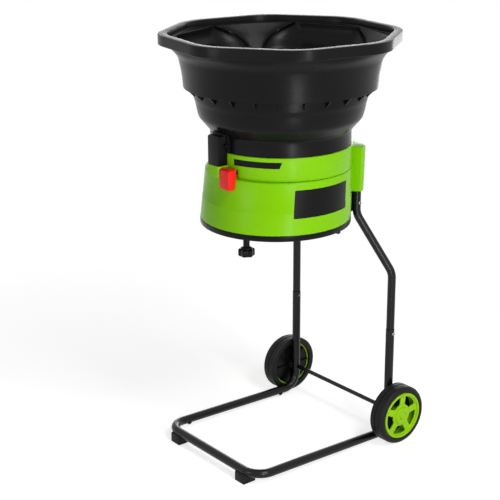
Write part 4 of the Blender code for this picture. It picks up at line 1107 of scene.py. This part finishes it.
def floor_finish():
    """Matt and pale near the object, plain white further away."""
    material = bpy.data.materials.new("floor")
    material.use_nodes = True
    tree = material.node_tree
    tree.nodes.remove(tree.nodes["Principled BSDF"])
    matt = tree.nodes.new("ShaderNodeBsdfDiffuse")
    matt.inputs["Color"].default_value = (*FLOOR_TONE, 1.0)
    glow = tree.nodes.new("ShaderNodeEmission")
    lift = remap(tree, seen_rays(tree), "Value", 0.0, 1.0, 0.0, FLOOR_LIFT)
    wire(tree, lift, "Result", glow, "Strength")
    near = tree.nodes.new("ShaderNodeAddShader")
    wire(tree, matt, "BSDF", near, 0)
    wire(tree, glow, "Emission", near, 1)
    white = tree.nodes.new("ShaderNodeEmission")
    place = tree.nodes.new("ShaderNodeTexCoord")
    distance = tree.nodes.new("ShaderNodeVectorMath")
    distance.operation = "LENGTH"
    wire(tree, place, "Object", distance, 0)
    far = remap(tree, distance, "Value", *FLOOR_FADE, 0.0, 1.0)
    either = tree.nodes.new("ShaderNodeMixShader")
    wire(tree, far, "Result", either, 0)
    wire(tree, near, "Shader", either, 1)
    wire(tree, white, "Emission", either, 2)
    wire(tree, either, "Shader", tree.nodes["Material Output"], "Surface")
    return material


def make_floor():
    half = FLOOR_SIZE / 2
    outline = [(-half, -half), (half, -half), (half, half), (-half, half)]
    floor = thing_from("floor", prism(outline, -0.02, 0.0))
    floor.data.materials.append(floor_finish())


def make_camera():
    data = bpy.data.cameras.new("photograph")
    data.lens = LENS
    data.sensor_width = 36.0
    camera = bpy.data.objects.new("photograph", data)
    bpy.context.scene.collection.objects.link(camera)
    turn = Matrix.Rotation(math.radians(CAMERA_TURN), 4, "Z")
    pitch = Matrix.Rotation(math.radians(90 - CAMERA_PITCH), 4, "X")
    roll = Matrix.Rotation(math.radians(CAMERA_ROLL), 4, "Z")
    camera.matrix_world = at(*CAMERA_AT) @ turn @ pitch @ roll
    bpy.context.scene.camera = camera


def light_studio():
    """Key and strip from the right, a lamp over the mouth, and softer ones in front and behind."""
    softbox("key", (2.88, -0.35, 1.35), (0.0, 0.0, 0.70), 0.5, 1.7, 23.0)
    softbox("strip", (1.46, -0.60, 0.38), (0.0, 0.0, 0.72), 0.14, 0.70, 5.0)
    softbox("top", (1.90, -0.05, 2.60), (0.0, 0.0, 0.95), 0.8, 0.7, 26.0)
    softbox("fill", (0.20, -2.60, 1.10), (0.0, 0.0, 0.75), 0.9, 0.9, 9.0)
    softbox("back", (-1.90, 2.10, 0.80), (0.0, 0.0, 0.75), 2.6, 1.1, 28.0)


carried_over()
make_world(AMBIENT)
make_floor()
light_studio()
make_camera()
bpy.context.scene.view_settings.view_transform = "Standard"
